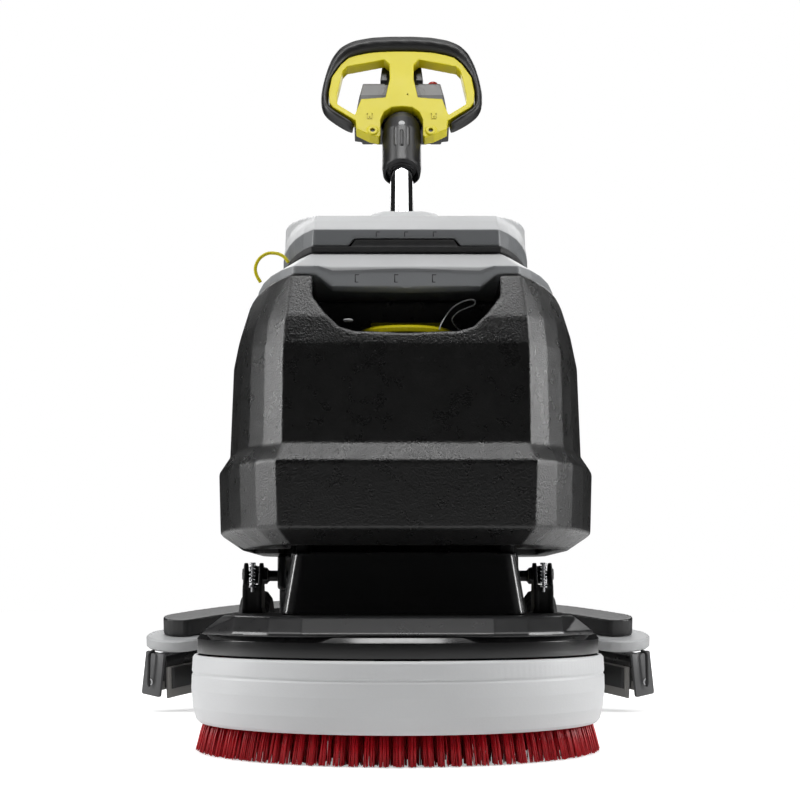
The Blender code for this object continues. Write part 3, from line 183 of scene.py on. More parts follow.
def surface(name, colour, roughness, metallic=0.0, grain=0.0, grain_size=1.2 * MM, uneven=0.14,
            wear_and_highlight=0.0, coat=0.0, specular=0.5, tones=None):
    """A material with fine grain, patches of slightly different tone and gloss, and edges lightened both as
    wear and as a painted highlight.

    tones(tree, place, paint) may return another colour socket, for a piece of two colours."""
    made = bpy.data.materials.new(name)
    made.use_nodes = True
    tree = made.node_tree
    shader = tree.nodes["Principled BSDF"]
    place = add(tree, "TexCoord").outputs["Object"]

    def noise(scale, detail, rough):
        inputs = {"Vector": place, "Scale": scale, "Detail": detail, "Roughness": rough}
        return add(tree, "TexNoise", inputs).outputs["Fac"]

    paint = mixed(tree, noise(9.0, 5.0, 0.6), shade(colour, 1 - uneven), shade(colour, 1 + uneven))
    if tones:
        paint = tones(tree, place, paint)
    # Rounded edges made lighter by pointiness: in part wear, in part a painted highlight in place of the
    # lamps' gleam on edges.
    if wear_and_highlight:
        edge = add(tree, "NewGeometry").outputs["Pointiness"]
        paint = mixed(tree, ranged(tree, edge, 0.51, 0.6, 0.0, wear_and_highlight), paint, shade(colour, 2.4))
    gloss = noise(38.0, 6.0, 0.65)
    gloss = ranged(tree, gloss, 0.3, 0.7, roughness * 0.86, min(1.0, roughness * 1.14))
    tree.links.new(paint, shader.inputs["Base Color"])
    tree.links.new(gloss, shader.inputs["Roughness"])
    shader.inputs["Metallic"].default_value = metallic
    shader.inputs["Specular IOR Level"].default_value = specular
    shader.inputs["Coat Weight"].default_value = coat
    shader.inputs["Coat Roughness"].default_value = 0.12
    if grain:
        cells = add(tree, "TexVoronoi", {"Vector": place, "Scale": 1 / grain_size}, feature="SMOOTH_F1")
        height = maths(tree, "ADD", cells.outputs["Distance"], noise(2.2 / grain_size, 3.0, 0.5))
        bump = {"Height": height, "Strength": grain, "Distance": grain_size * 0.35}
        tree.links.new(add(tree, "Bump", bump).outputs[0], shader.inputs["Normal"])
    return made


def above(tree, value, level):
    """1 above a level and 0 below it, with a narrow blend between."""
    blend = 0.4 * MM
    return ranged(tree, value, level - blend, level + blend)


def split_at(level, low, direction=(0.0, 0.0, 1.0)):
    """Tones for a moulding that is darker below a level."""
    def tones(tree, place, paint):
        height = add(tree, "VectorMath", {0: place, 1: direction}, operation="DOT_PRODUCT")
        return mixed(tree, above(tree, height.outputs["Value"], level), shade(low), paint)

    return tones


def waste_tones(tree, place, paint):
    """Light above the tank's shoulder line, which dips to a shallow arch across the front."""
    x, _, z = add(tree, "SeparateXYZ", {"Vector": place}).outputs
    out = maths(tree, "ABSOLUTE", maths(tree, "SUBTRACT", x, TANK_X))
    line = ranged(tree, out, ARCH_HALF, ARCH_FOOT, ARCH_LOW, SHOULDER)
    rise = ranged(tree, out, 0.0, ARCH_HALF, 2.5 * MM, 0.0, interpolation_type="SMOOTHSTEP")
    over = maths(tree, "SUBTRACT", z, maths(tree, "ADD", line, rise))
    return mixed(tree, above(tree, over, 0.0), shade(MID_GREY), paint)


SHOULDER = 0.5955  # the height of the step round the waste tank
ARCH_LOW, ARCH_HALF, ARCH_FOOT = 0.5895, 0.09, 0.107  # its dip at the front: height and half widths
LID_BAND = 0.6445  # the lid is dark below this and light above it
LIGHT_GREY = srgb(184, 185, 186)
MID_GREY = srgb(122, 124, 126)
LEAN = radians(20.0)
COLUMN = Vector((0.006, 0.182, 0.7))
UP_COLUMN = Vector((0.0, sin(LEAN), cos(LEAN)))
RING = 0.2385  # the handle's ring starts this far up the column
CONSOLE_STEP = COLUMN.dot(UP_COLUMN) + RING + 0.098


def materials():
    """Every finish, by name. SLOT_FINISHES gives the slot of each."""
    on_lid = split_at(LID_BAND, srgb(106, 108, 110))
    on_console = split_at(CONSOLE_STEP, srgb(14, 14, 14), tuple(UP_COLUMN))
    shell = {"grain": 0.2, "wear_and_highlight": 0.1}
    return {
        # the tank's lighter edges are partly a painted highlight on its facet edges and the recess's lip
        "tank": surface("tank_black", srgb(9, 9, 9), 0.29, grain=0.5, grain_size=2.2 * MM, wear_and_highlight=0.22,
                        specular=0.6),
        "satin": surface("satin_black", srgb(20, 20, 21), 0.33, grain=0.12, wear_and_highlight=0.2),
        "gloss": surface("gloss_black", srgb(16, 16, 17), 0.24, grain=0.04, coat=0.3),
        # the deck cap's strongly lightened edges are a painted highlight along its corners
        "cover": surface("deck_black", srgb(22, 22, 23), 0.3, grain=0.1, wear_and_highlight=0.7),
        "grey": surface("grey_shell", LIGHT_GREY, 0.42, **shell),
        "waste": surface("waste_shell", LIGHT_GREY, 0.42, tones=waste_tones, **shell),
        "lid": surface("lid_shell_grey", LIGHT_GREY, 0.4, grain=0.18, wear_and_highlight=0.1, tones=on_lid),
        "mid": surface("mid_grey_shell", srgb(168, 169, 170), 0.42, **shell),
        "dim": surface("dark_grey_plate", srgb(66, 66, 67), 0.42, grain=0.2, wear_and_highlight=0.3),
        "console": surface("console_shell", srgb(96, 96, 98), 0.34, grain=0.15, tones=on_console),
        "yellow": surface("lime_yellow", srgb(196, 184, 4), 0.4, grain=0.06, uneven=0.05, specular=0.4),
        "steel_black": surface("painted_steel", srgb(17, 17, 18), 0.36, 0.1, grain=0.15, wear_and_highlight=0.3),
        "steel": surface("bright_metal", srgb(200, 200, 203), 0.28, 1.0, grain=0.06),
        "chrome": surface("chrome_plate", srgb(236, 236, 238), 0.08, 1.0, uneven=0.02),
        "white": surface("white_rubber_skirt", srgb(212, 213, 214), 0.48, grain=0.08, grain_size=3 * MM,
                         uneven=0.03),
        "tyre": surface("black_rubber_tread", srgb(26, 26, 27), 0.72, grain=0.4, wear_and_highlight=0.3),
        "grip": surface("soft_grip_rubber", srgb(17, 17, 18), 0.4, grain=0.2, grain_size=0.8 * MM),
        "blade": surface("grey_gum_rubber", srgb(120, 118, 115), 0.5, grain=0.1),
        "bristle": surface("red_nylon", srgb(196, 14, 30), 0.4, uneven=0.35),
        "red": surface("red_button", srgb(190, 24, 22), 0.32, grain=0.05),
    }


# ---------------- mesh tools
def to_mesh(name, bm):
    bmesh.ops.recalc_face_normals(bm, faces=bm.faces)
    mesh = bpy.data.meshes.new(name)
    bm.to_mesh(mesh)
    bm.free()
    return mesh


def link(name, data):
    """A new object of the scene, of any kind."""
    made = bpy.data.objects.new(name, data)
    scene.collection.objects.link(made)
    return made


def settle(obj):
    """Applies an object's modifiers."""
    graph = bpy.context.evaluated_depsgraph_get()
    mesh = bpy.data.meshes.new_from_object(obj.evaluated_get(graph))
    obj.modifiers.clear()
    obj.data = mesh
    return obj


def copied(node, name):
    """A new object with a CAD node's mesh, its doubled corners welded."""
    bm = bmesh.new()
    bm.from_mesh(frame["nodes"][node].data)
    bmesh.ops.remove_doubles(bm, verts=bm.verts, dist=1e-6)
    return link(name, to_mesh(name, bm))


def cut(obj, *others):
    """Takes each of others out of obj, and removes it."""
    for other in others:
        change = obj.modifiers.new("change", "BOOLEAN")
        change.operation = "DIFFERENCE"
        change.object = other
        settle(obj)
        bpy.data.objects.remove(other)
    return obj


def merged(obj, *others):
    """Puts the faces of others into obj. A remesh then makes one skin of them."""
    bm = bmesh.new()
    bm.from_mesh(obj.data)
    for other in others:
        bm.from_mesh(other.data)
        bpy.data.objects.remove(other)
    obj.data = to_mesh(obj.name, bm)
    return obj


def moulded(obj, voxel, passes, keep=1.0):
    """Rounds every edge: a voxel remesh, smoothing, and a share of the faces kept."""
    remesh = obj.modifiers.new("remesh", "REMESH")
    remesh.mode = "VOXEL"
    remesh.voxel_size = voxel * 1.0
    smooth = obj.modifiers.new("smooth", "SMOOTH")
    smooth.factor = 0.5
    smooth.iterations = passes
    if keep < 1.0:
        fewer = obj.modifiers.new("fewer", "DECIMATE")
        fewer.ratio = keep
    return settle(obj)


def show(obj, body, finish, *nodes, sharp=None):
    """Gives a piece its finish and its body, and hides the CAD nodes that it stands for.

    A piece with no body keeps its place in the world."""
    obj.data.materials.clear()
    obj.data.materials.append(FINISHES[finish])
    if obj.type == "MESH":
        obj.data.shade_smooth()
        if sharp:
            obj.data.set_sharp_from_angle(angle=radians(sharp))
    if body:
        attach(obj, body)
    if nodes:
        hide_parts(*nodes)
    return obj


def filleted(points, radius, closed, steps=4):
    """An outline with each corner rounded."""
    rounded = []
    count = len(points)
    for i, point in enumerate(points):
        here = Vector(point)
        if radius == 0 or (not closed and i in (0, count - 1)):
            rounded.append(here)
            continue
        before, after = Vector(points[i - 1]) - here, Vector(points[(i + 1) % count]) - here
        half = before.angle(after, pi) / 2
        reach = min(radius / tan(half), before.length * 0.48, after.length * 0.48)
        start, end = here + before.normalized() * reach, here + after.normalized() * reach
        for k in range(steps + 1):
            t = k / steps
            rounded.append(start * (1 - t) ** 2 + here * 2 * t * (1 - t) + end * t * t)
    return rounded


AXES = {
    "x": lambda r, c, s, h: Vector((h, r * c, r * s)),
    "y": lambda r, c, s, h: Vector((r * s, h, r * c)),
    "z": lambda r, c, s, h: Vector((r * c, r * s, h)),
}


def skin(name, rings, closed=False):
    """A mesh through rings of points, capped at both ends or run round to its start."""
    bm = bmesh.new()
    rows = [[bm.verts.new(p) for p in ring] for ring in rings]
    count = len(rows[0])
    for low, high in zip(rows, rows[1:] + rows[:1] if closed else rows[1:]):
        for i in range(count):
            bm.faces.new((low[i], low[(i + 1) % count], high[(i + 1) % count], high[i]))
    if not closed:
        bm.faces.new(rows[0])
        bm.faces.new(rows[-1])
    bmesh.ops.remove_doubles(bm, verts=bm.verts, dist=1e-6)
    return link(name, to_mesh(name, bm))


def lathe(name, centre, profile, axis="z", fillet=1.5 * MM, sides=96, wave=None):
    """A turned piece with rounded corners. A profile from radius 0 is solid, any other a ring.

    wave(angle, radius, height) is added to the radius."""
    solid = profile[0][0] == 0
    rings = []
    for radius, height in filleted(profile, fillet, not solid):
        ring = []
        for i in range(sides):
            a = 2 * pi * i / sides
            reach = radius + (wave(a, radius, height) if wave else 0.0)
            ring.append(Vector(centre) + AXES[axis](reach, cos(a), sin(a), height))
        rings.append(ring)
    return skin(name, rings, closed=not solid)


def fluted(depth, count, beyond, wave=cos):
    """A lathe's wave: grooves round the piece wherever its radius is beyond a limit."""
    def grooves(angle, radius, height):
        return -depth * max(0.0, wave(angle * count)) if radius > beyond else 0.0

    return grooves


def pin(radius, low, high, bore=0):
    """The profile of a plain cylinder, or of a plain ring."""
    return [(bore, low), (radius, low), (radius, high), (bore, high)]


def both_ways(profile):
    """A profile of (radius, height) and its mirror image in height."""
    return profile + [(r, -h) for r, h in reversed(profile)]


def block(name, low, high, bevel=MM, segments=3):
    bm = bmesh.new()
    bmesh.ops.create_cube(bm, size=1.0)
    bmesh.ops.scale(bm, vec=Vector(high) - Vector(low), verts=bm.verts)
    bmesh.ops.translate(bm, vec=(Vector(low) + Vector(high)) / 2, verts=bm.verts)
    if bevel:
        bmesh.ops.bevel(bm, geom=bm.edges[:], offset=bevel, segments=segments, affect="EDGES", profile=0.5)
    return link(name, to_mesh(name, bm))


def turned_about(obj, angle, axis, pivot):
    turn = Matrix.Translation(pivot) @ Matrix.Rotation(angle, 4, axis) @ Matrix.Translation(-pivot)
    obj.data.transform(turn)
    return obj


def seated(obj, at, *axes):
    """Turns a piece's own axes to the given ones and moves it to a point."""
    obj.data.transform(Matrix.Translation(at) @ Matrix(axes).transposed().to_4x4())
    return obj


def tube(name, points, radius, sides=20, wave=None):
    """A round skin along points. wave(distance) changes its radius along the way."""
    points = [Vector(p) for p in points]
    rings, travelled, side = [], 0.0, None
    for i, point in enumerate(points):
        along = (points[min(i + 1, len(points) - 1)] - points[max(i - 1, 0)]).normalized()
        side = along.orthogonal() if side is None else side - along * side.dot(along)
        side.normalize()
        up = along.cross(side)
        travelled += (point - points[i - 1]).length if i else 0.0
        reach = radius + (wave(travelled) if wave else 0.0)
        turn = [2 * pi * k / sides for k in range(sides)]
        rings.append([point + (side * cos(a) + up * sin(a)) * reach for a in turn])
    return skin(name, rings)


def smooth_route(points, spacing):
    """A smooth curve (Catmull-Rom) through points, read off at about the given spacing."""
    points = [Vector(p) for p in points]
    ends = [points[0] * 2 - points[1], *points, points[-1] * 2 - points[-2]]
    line = []
    for i in range(1, len(ends) - 2):
        a, b, c, d = ends[i - 1 : i + 3]
        steps = max(1, round((c - b).length / spacing * 4))
        for k in range(steps):
            t = k / steps
            bend = (a * 2 - b * 5 + c * 4 - d) * t * t + (b * 3 - a - c * 3 + d) * t**3
            line.append((b * 2 + (c - a) * t + bend) / 2)
    line.append(points[-1])
    count = max(2, round(sum((q - p).length for p, q in zip(line, line[1:])) / spacing))
    return [line[round(i * (len(line) - 1) / count)] for i in range(count + 1)]


# ---------------- the two cords
STRAP_ROUTE = [
    (-0.1405, -0.32, 0.62),
    (-0.146, -0.318, 0.6275),
    (-0.1555, -0.315, 0.6325),
    (-0.168, -0.312, 0.633),
    (-0.1785, -0.31, 0.6265),
    (-0.1835, -0.31, 0.6155),
    (-0.182, -0.3105, 0.6055),
    (-0.1768, -0.3107, 0.5962),
]
STRAP_RADIUS = 0.0022
TETHER = [  # x from the tanks' middle: up from the cap's rim to the knot, round the loop and down
    (0.0405, -0.4168, 0.5185),
    (0.043, -0.4155, 0.526),
    (0.051, -0.409, 0.54),
    (0.059, -0.403, 0.5495),
    (0.07, -0.4, 0.556),
    (0.08, -0.3985, 0.559),
    (0.085, -0.3975, 0.5572),
    (0.084, -0.3965, 0.5528),
    (0.074, -0.395, 0.5485),
    (0.064, -0.3925, 0.544),
    (0.057, -0.388, 0.535),
    (0.066, -0.38, 0.524),
    (0.078, -0.37, 0.52),
]
TETHER_ROUTE = [(TANK_X + x, y, z) for x, y, z in TETHER]
TETHER_RADIUS = 0.0008


def cord(name, route, radius, body, finish, node):
    """A cord as a curve along its route."""
    line = smooth_route(route, radius * 1.5)
    curve = bpy.data.curves.new(name, "CURVE")
    curve.dimensions = "3D"
    curve.bevel_depth = radius
    curve.bevel_resolution = 4
    curve.use_fill_caps = True
    spline = curve.splines.new("POLY")
    spline.points.add(len(line) - 1)
    for place, point in zip(spline.points, line):
        place.co = (*point, 1.0)
    piece = link(name, curve)
    show(piece, body, finish, node)


def cords():
    cord("lid_strap_cord", STRAP_ROUTE, STRAP_RADIUS, "waste", "yellow", "side_strap")
    cord("cap_tether_cord", TETHER_ROUTE, TETHER_RADIUS, "chassis", "white", "cap_tether")


SLOT_FINISHES = {  # the first one is for a node that keeps its CAD shape
    "black_plastic": ("tank", "console"),
    "dark_plastic": ("satin", "gloss", "cover", "dim"),
    "grey_plastic": ("grey", "waste", "lid"),
    "mid_grey_plastic": ("mid",),
    "yellow_plastic": ("yellow",),
    "red_plastic": ("red",),
    "black_steel": ("steel_black",),
    "bright_steel": ("steel",),
    "chrome": ("chrome",),
    "white_rubber": ("white",),
    "black_rubber": ("tyre", "grip"),
    "grey_rubber": ("blade",),
    "red_bristle": ("bristle",),
}
FINISHES = materials()


# ---------------- the tanks
def outer_shell(obj, axis_at, radius, low, high):
    """Takes away a tank's hollow and the bore that leads to it, and closes the outside there."""
    bm = bmesh.new()
    bm.from_mesh(obj.data)
    bore = []
    for face in bm.faces:
        reach = [hypot(v.co.x - axis_at[0], v.co.y - axis_at[1]) for v in face.verts]
        heights = [v.co.z for v in face.verts]
        in_bore = max(reach) < radius + MM and min(reach) > radius - MM
        if in_bore and min(heights) > low and max(heights) < high:
            bore.append(face)
    bmesh.ops.delete(bm, geom=bore, context="FACES")
    start = max(bm.verts, key=lambda v: v.co.y)
    outside, queue = {start}, [start]
    while queue:
        for edge in queue.pop().link_edges:
            for vert in edge.verts:
                if vert not in outside:
                    outside.add(vert)
                    queue.append(vert)
    bmesh.ops.delete(bm, geom=[v for v in bm.verts if v not in outside], context="VERTS")
    bmesh.ops.holes_fill(bm, edges=[e for e in bm.edges if e.is_boundary])
    obj.data = to_mesh(obj.name, bm)
    return obj


def tree_of(obj):
    bm = bmesh.new()
    bm.from_mesh(obj.data)
    tree = BVHTree.FromBMesh(bm)
    bm.free()
    return tree


def touched(tree, x, z):
    """Where a line from the front meets a piece, and the way its surface faces there."""
    hit, normal, *_ = tree.ray_cast(Vector((x, -2.0, z)), Vector((0, 1, 0)))
    return hit, normal


def groove(at, along, out, length, width, depth):
    """A rounded cutter that lies in a surface at a point."""
    along = (along - out * along.dot(out)).normalized()
    low, high = (-length / 2, -width / 2, -depth), (length / 2, width / 2, depth * 2)
    return seated(block("groove", low, high, width * 0.3, 2), at, along, out.cross(along), out)


def hull_ring(z, half, front_half, front_y, rear_y, side_run=0.27, inset=0.0):
    """One level of a tank: a flat front, sides that curve out to full width, and a rounded rear."""
    half, front_half = half - inset, front_half - inset * 0.6
    front_y, rear_y = front_y + inset, rear_y - inset
    start, bend = Vector((front_half, front_y)), Vector((half - 0.01, front_y + side_run * 0.26))
    end = Vector((half, front_y + side_run))
    corner = 0.02
    right = []
    for i in range(7):
        t = i / 6
        right.append(start * (1 - t) ** 2 + bend * 2 * t * (1 - t) + end * t * t)
    for i in range(4):
        a = pi / 2 * i / 3
        reach = Vector((corner * cos(a), corner * sin(a)))
        right.append(Vector((half - corner, rear_y - corner)) + reach)
    ring = [Vector((TANK_X + p.x, p.y, z)) for p in right]
    return ring + [Vector((TANK_X - p.x, p.y, z)) for p in reversed(right)]


def plate(name, outline, low, high, axis="y", radius=0.0, bevel=0.0):
    """A flat outline of (x, z) pushed from low to high along Y, or one of (y, z) along X."""
    line = filleted(outline, radius, True) if radius else outline
    bm = bmesh.new()
    rows = []
    for h in (low, high):
        rows.append([bm.verts.new((h, u, v) if axis == "x" else (u, h, v)) for u, v in line])
    count = len(line)
    for i in range(count):
        bm.faces.new((rows[0][i], rows[0][(i + 1) % count], rows[1][(i + 1) % count], rows[1][i]))
    caps = [bm.faces.new(rows[0]), bm.faces.new(rows[1])]
    if bevel:
        rim = list({e for cap in caps for e in cap.edges})
        bmesh.ops.bevel(bm, geom=rim, offset=bevel, segments=2, affect="EDGES", profile=0.5)
    return link(name, to_mesh(name, bm))


def mirrored(points):
    """A right-hand half outline, top to bottom, closed by its mirror image."""
    return list(points) + [(-x, z) for x, z in reversed(points) if abs(x) > 1e-9]


def inlays(name, obj, marks, body, finish):
    """Fine dark strokes let into the front of a moulding: marks are x, z, width and height."""
    tree = tree_of(obj)
    strokes = []
    for x, z, width, height in marks:
        at, out = touched(tree, x, z)
        up = (Vector((0, 0, 1)) - out * out.z).normalized()
        low, high = (-width / 2, -MM, -height / 2), (width / 2, 0.12 * MM, height / 2)
        strokes.append(seated(block("stroke", low, high, 0), at, out.cross(up), out, up))
    group = merged(*strokes)
    group.name = name
    show(group, body, finish)


def fresh_tank():
    tank = copied("fresh_tank", "fresh_water_tank")
    outer_shell(tank, CAP_AT, 0.045, 0.493, 0.502)
    tree = tree_of(tank)
    for side in (-1, 1):
        for i in range(4):
            x = TANK_X + side * (0.183 + 0.0125 * i)
            at, out = touched(tree, x, 0.263)
            if at:
                cut(tank, groove(at, Vector((0, 0, 1)), out, 0.019, 0.0034, 0.0034))
    moulded(tank, 2.5 * MM, 3, 0.42)
    show(tank, "chassis", "tank", "fresh_tank")


WASTE_LEVELS = [
    (0.5, 0.214, 0.14, -0.433, 0.102, 0.32),
    (0.55, 0.214, 0.14, -0.433, 0.102, 0.32),
    (0.594, 0.209, 0.139, -0.427, 0.102, 0.32),
    (0.615, 0.167, 0.115, -0.406, 0.102),
    (0.64, 0.167, 0.115, -0.406, 0.102),
]


def waste_tank():
    """The upper tank, with its band set back below the shoulder line."""
    tank = copied("waste_tank", "waste_water_tank")
    core = skin("core", [hull_ring(*level, inset=2.4 * MM) for level in WASTE_LEVELS])
    line = [(0.3, SHOULDER), (ARCH_FOOT, SHOULDER), (ARCH_HALF, ARCH_LOW), (0.045, 0.5914), (0.0, 0.592)]
    line = [(x + TANK_X, z) for x, z in mirrored(line)]
    band = plate("band", [*line, (-0.3 + TANK_X, 0.545), (0.3 + TANK_X, 0.545)], -0.5, 0.3)
    moulded(cut(tank, cut(band, core)), 2.3 * MM, 2, 0.45)
    show(tank, "waste", "waste", "waste_tank")
    marks = []
    for x in (-0.052, -0.004, 0.042):
        marks += [(x, 0.5795, 1.1 * MM, 9 * MM), (x + 2 * MM, 0.5845, 5 * MM, MM)]
        marks.append((x + 1.6 * MM, 0.5752, 4 * MM, 0.9 * MM))
    inlays("waste_tank_slots", tank, marks, "waste", "satin")


def lid():
    cover = copied("tank_lid", "lid_shell")
    moulded(cover, 2 * MM, 2, 0.5)
    show(cover, "lid", "lid", "tank_lid")
    marks = []
    for x in (-0.0268, 0.0082, 0.0435):
        marks += [(x, 0.6385, 1.1 * MM, 6.5 * MM), (x + 1.8 * MM, 0.6412, 4.6 * MM, MM)]
    inlays("lid_slots", cover, marks, "lid", "satin")
    seal = copied("tank_gasket", "lid_seal")
    wedge = [(0.06, 0.6328), (0.0672, 0.6225), (0.0672, 0.619)]
    wedge = plate("wedge", [(x + TANK_X - 0.002, z) for x, z in mirrored(wedge)], -0.4055, -0.3955)
    show(moulded(merged(seal, wedge), 1.5 * MM, 1, 0.4), "waste", "tyre", "tank_gasket")
    for side, word in SIDES:
        at = (TANK_X + side * 0.1225, 0.097, 0.6275)
        made = lathe(f"lid_pin_{word}", at, pin(3.6 * MM, -4 * MM, -2.9 * MM), "x", 0.4 * MM, 24)
        show(made, "waste", "steel")


ROUNDED = (  # node, piece, body, finish, voxel in mm, smoothing passes, share of the faces kept
    ("rear_housing", "rear_shell", "chassis", "grey", 2.3, 3, 0.4),
    ("neck_cover", "neck_shroud", "deck", "gloss", 2.0, 3, 0.4),
    ("deck_cap", "deck_top", "deck", "cover", 1.8, 1, 0.4),
    ("chassis_frame", "steel_chassis", "chassis", "steel_black", 2.4, 2, 0.4),
    ("lift_arm_frame", "lift_arms", "arms", "steel_black", 1.6, 2, 0.5),
    ("deck_bracket_{}", "head_bracket_{}", "deck", "steel_black", 1.1, 1, 0.5),
    ("squeegee_carrier", "squeegee_beam", "squeegee", "satin", 1.8, 2, 0.5),
    ("squeegee_body", "squeegee_channel", "squeegee", "tank", 1.8, 2, 0.5),
    ("caster_fork_{}", "caster_yoke_{}", "swivel_{}", "steel", 1.2, 2, 0.5),
    ("battery_front", "front_battery", "chassis", "dim", 2.5, 2, 0.5),
    ("battery_rear", "rear_battery", "chassis", "dim", 2.5, 2, 0.5),
    ("squeegee_lever", "lift_lever", "squeegee_lever", "steel_black", 1.2, 2, 0.5),
    ("deck_pedal", "head_pedal", "pedal", "steel_black", 1.2, 2, 0.5),
    ("drive_lever_{}", "lever_blade_{}", "lever_{}", "satin", 0.9, 3, 0.5),
    ("float_cage", "float_basket", "waste", "satin", 1.2, 2, 0.5),
)


def rounded_pieces():
    """CAD mouldings that need no more than their edges rounded. A {} stands for left and right."""
    for *names, finish, voxel, passes, keep in ROUNDED:
        for word in ("left", "right") if "{}" in names[0] else ("",):
            node, name, body = (text.format(word) for text in names)
            show(moulded(copied(node, name), voxel * MM, passes, keep), body, finish, node)


def filler():
    """The filler's neck and its cap, whose rim is knurled for the hand."""
    neck = [(0.046, 0.0007), (0.058, 0.0007), (0.058, 0.005), (0.0565, 0.0055), (0.0565, 0.0117)]
    neck.append((0.046, 0.0117))
    show(lathe("filler_mouth", CAP_AT, neck, fillet=0.6 * MM), "chassis", "tank", "filler_neck")
    cap = [(0, 0.0123), (0.06, 0.0123), (0.062, 0.015), (0.062, 0.02), (0.057, 0.0235)]
    cap += [(0.03, 0.0255), (0, 0.0255)]
    knurl = fluted(0.6 * MM, 48, 0.0605, sin)
    top = lathe("filler_lid", CAP_AT, cap, fillet=MM, sides=288, wave=knurl)
    low, high = Vector((-0.044, -0.006, 0.023)), Vector((0.044, 0.006, 0.0345))
    bar = block("bar", CAP_AT + low, CAP_AT + high, 2.5 * MM, 4)
    show(merged(top, bar), "cap", "yellow", "filler_cap", sharp=40)
    clip = [(0, 0), (5 * MM, 0), (6.5 * MM, 1.5 * MM), (5 * MM, 3 * MM), (0, 3.2 * MM)]
    plug = lathe("dosing_plug", (-0.061, -0.414, 0.529), clip, "z", 0.8 * MM, 32)
    show(plug, "chassis", "white")


def grip():
    ring = copied("grip_ring", "hand_grip")
    finer = ring.modifiers.new("finer", "SUBSURF")
    finer.levels = finer.render_levels = 2
    show(settle(ring), "handle", "grip", "grip_ring")


# ---------------- the handle, made upright and leaned back
def leaned(obj):
    return turned_about(obj, -LEAN, "X", COLUMN)


def in_handle(x, y, z):
    """A point given from the column's axis and the bottom of the handle's ring."""
    return Vector((COLUMN.x + x, COLUMN.y + y, COLUMN.z + RING + z))


def boxed(name, low, high, bevel=0.0):
    return leaned(block(name, in_handle(*low), in_handle(*high), bevel))


def handle_plate():
    """The yellow frame, with its bolt bosses, the slots in its lower arms and the hole in its spine."""
    sheet = copied("handle_frame", "handle_plate")
    front = -0.024
    bolts = [in_handle(side * 0.047, front, 0.012) for side in (-1, 1)]
    boss = pin(8.6 * MM, -2.6 * MM, 8 * MM)
    merged(sheet, *(leaned(lathe("boss", at, boss, "y", 0.8 * MM, 48)) for at in bolts))
    moulded(sheet, 0.9 * MM, 2)
    for side, at in zip((-1, 1), bolts):
        cut(sheet, leaned(lathe("hole", at, pin(4 * MM, -9 * MM, 7 * MM), "y", 0, 32)))
        x, z = side * 0.052, 0.04
        bars = [(x - 4.6 * MM, z - 6 * MM, x + 4.6 * MM, z - 4.2 * MM)]
        for middle in (x - 4 * MM, x + 4 * MM):
            bars.append((middle - 0.8 * MM, z - 6 * MM, middle + 0.8 * MM, z + 6 * MM))
        bars.append((x - 0.7 * MM, z - 6 * MM, x + 0.7 * MM, z + MM))
        for x0, z0, x1, z1 in bars:
            cut(sheet, boxed("slot", (x0, front - 0.006, z0), (x1, front + 2.2 * MM, z1)))
    spot = in_handle(0.0095, front, 0.083)
    cut(sheet, leaned(lathe("hole", spot, pin(1.5 * MM, -6 * MM, 5 * MM), "y", 0, 20)))
    show(sheet, "handle", "yellow", "handle_frame", sharp=32)
    for (side, word), at in zip(SIDES, bolts):
        bolt = lathe(f"frame_bolt_{word}", at, pin(3.6 * MM, MM, 5.5 * MM), "y", 0.5 * MM, 24)
        show(leaned(bolt), "handle", "steel_black")


def column():
    """The chrome column and the sleeve that clamps the handle to it, open below to show the tube."""
    tube_line = pin(0.0185, -0.085, 0.29, 0.0165)
    chrome = lathe("chrome_column", COLUMN, tube_line, "z", 0.6 * MM, 128)
    show(leaned(chrome), "chassis", "chrome", "column_tube")
    at = in_handle(0, 0, 0)
    line = [(0.0195, -0.06), (0.0295, -0.06), (0.0316, -0.045), (0.0318, 0.0), (0.0318, 0.018)]
    line += [(0.029, 0.037), (0.022, 0.051), (0.0195, 0.051)]
    sleeve = leaned(lathe("column_clamp", at, line, "z", 3 * MM, 96))
    ribs = [boxed("rib", (-1.8 * MM, -0.033, -0.021), (1.8 * MM, -0.028, 0.008), 1.2 * MM)]
    for x in (-0.012, 0.0095):
        ribs.append(boxed("rib", (x, -0.0308, -0.02), (x + 0.0025, -0.025, 0.015), MM))
    moulded(merged(sleeve, *ribs), 0.9 * MM, 2, 0.8)
    hollow = [(0, -0.02), (0.0275, -0.02), (0.0275, 0.006), (0.02, 0.03), (0, 0.03)]
    mouth = lathe("mouth", in_handle(0, 0, -0.065), hollow, "z", 0, 64)
    under = block("under", in_handle(-0.05, -0.05, -0.11), in_handle(0.05, 0.05, -0.056), 0)
    turned_about(under, radians(-17), "X", in_handle(0, 0, -0.056))
    cut(sleeve, leaned(mouth), leaned(under))
    show(sleeve, "handle", "satin", "clamp_sleeve", sharp=38)
    dome = [(0, -3.2 * MM), (3.4 * MM, -2.6 * MM), (5.2 * MM, -MM), (5.2 * MM, 6 * MM), (0, 6 * MM)]
    button = lathe("clamp_button", in_handle(0, -0.03, 0.0215), dome, "y", 1.4 * MM, 48)
    show(leaned(button), "handle", "mid")
    liner = [(0.0189, -0.05), (0.0235, -0.05), (0.02, -0.036), (0.0189, -0.036)]
    show(leaned(lathe("clamp_bush", at, liner, "z", 0.4 * MM, 64)), "handle", "tyre")


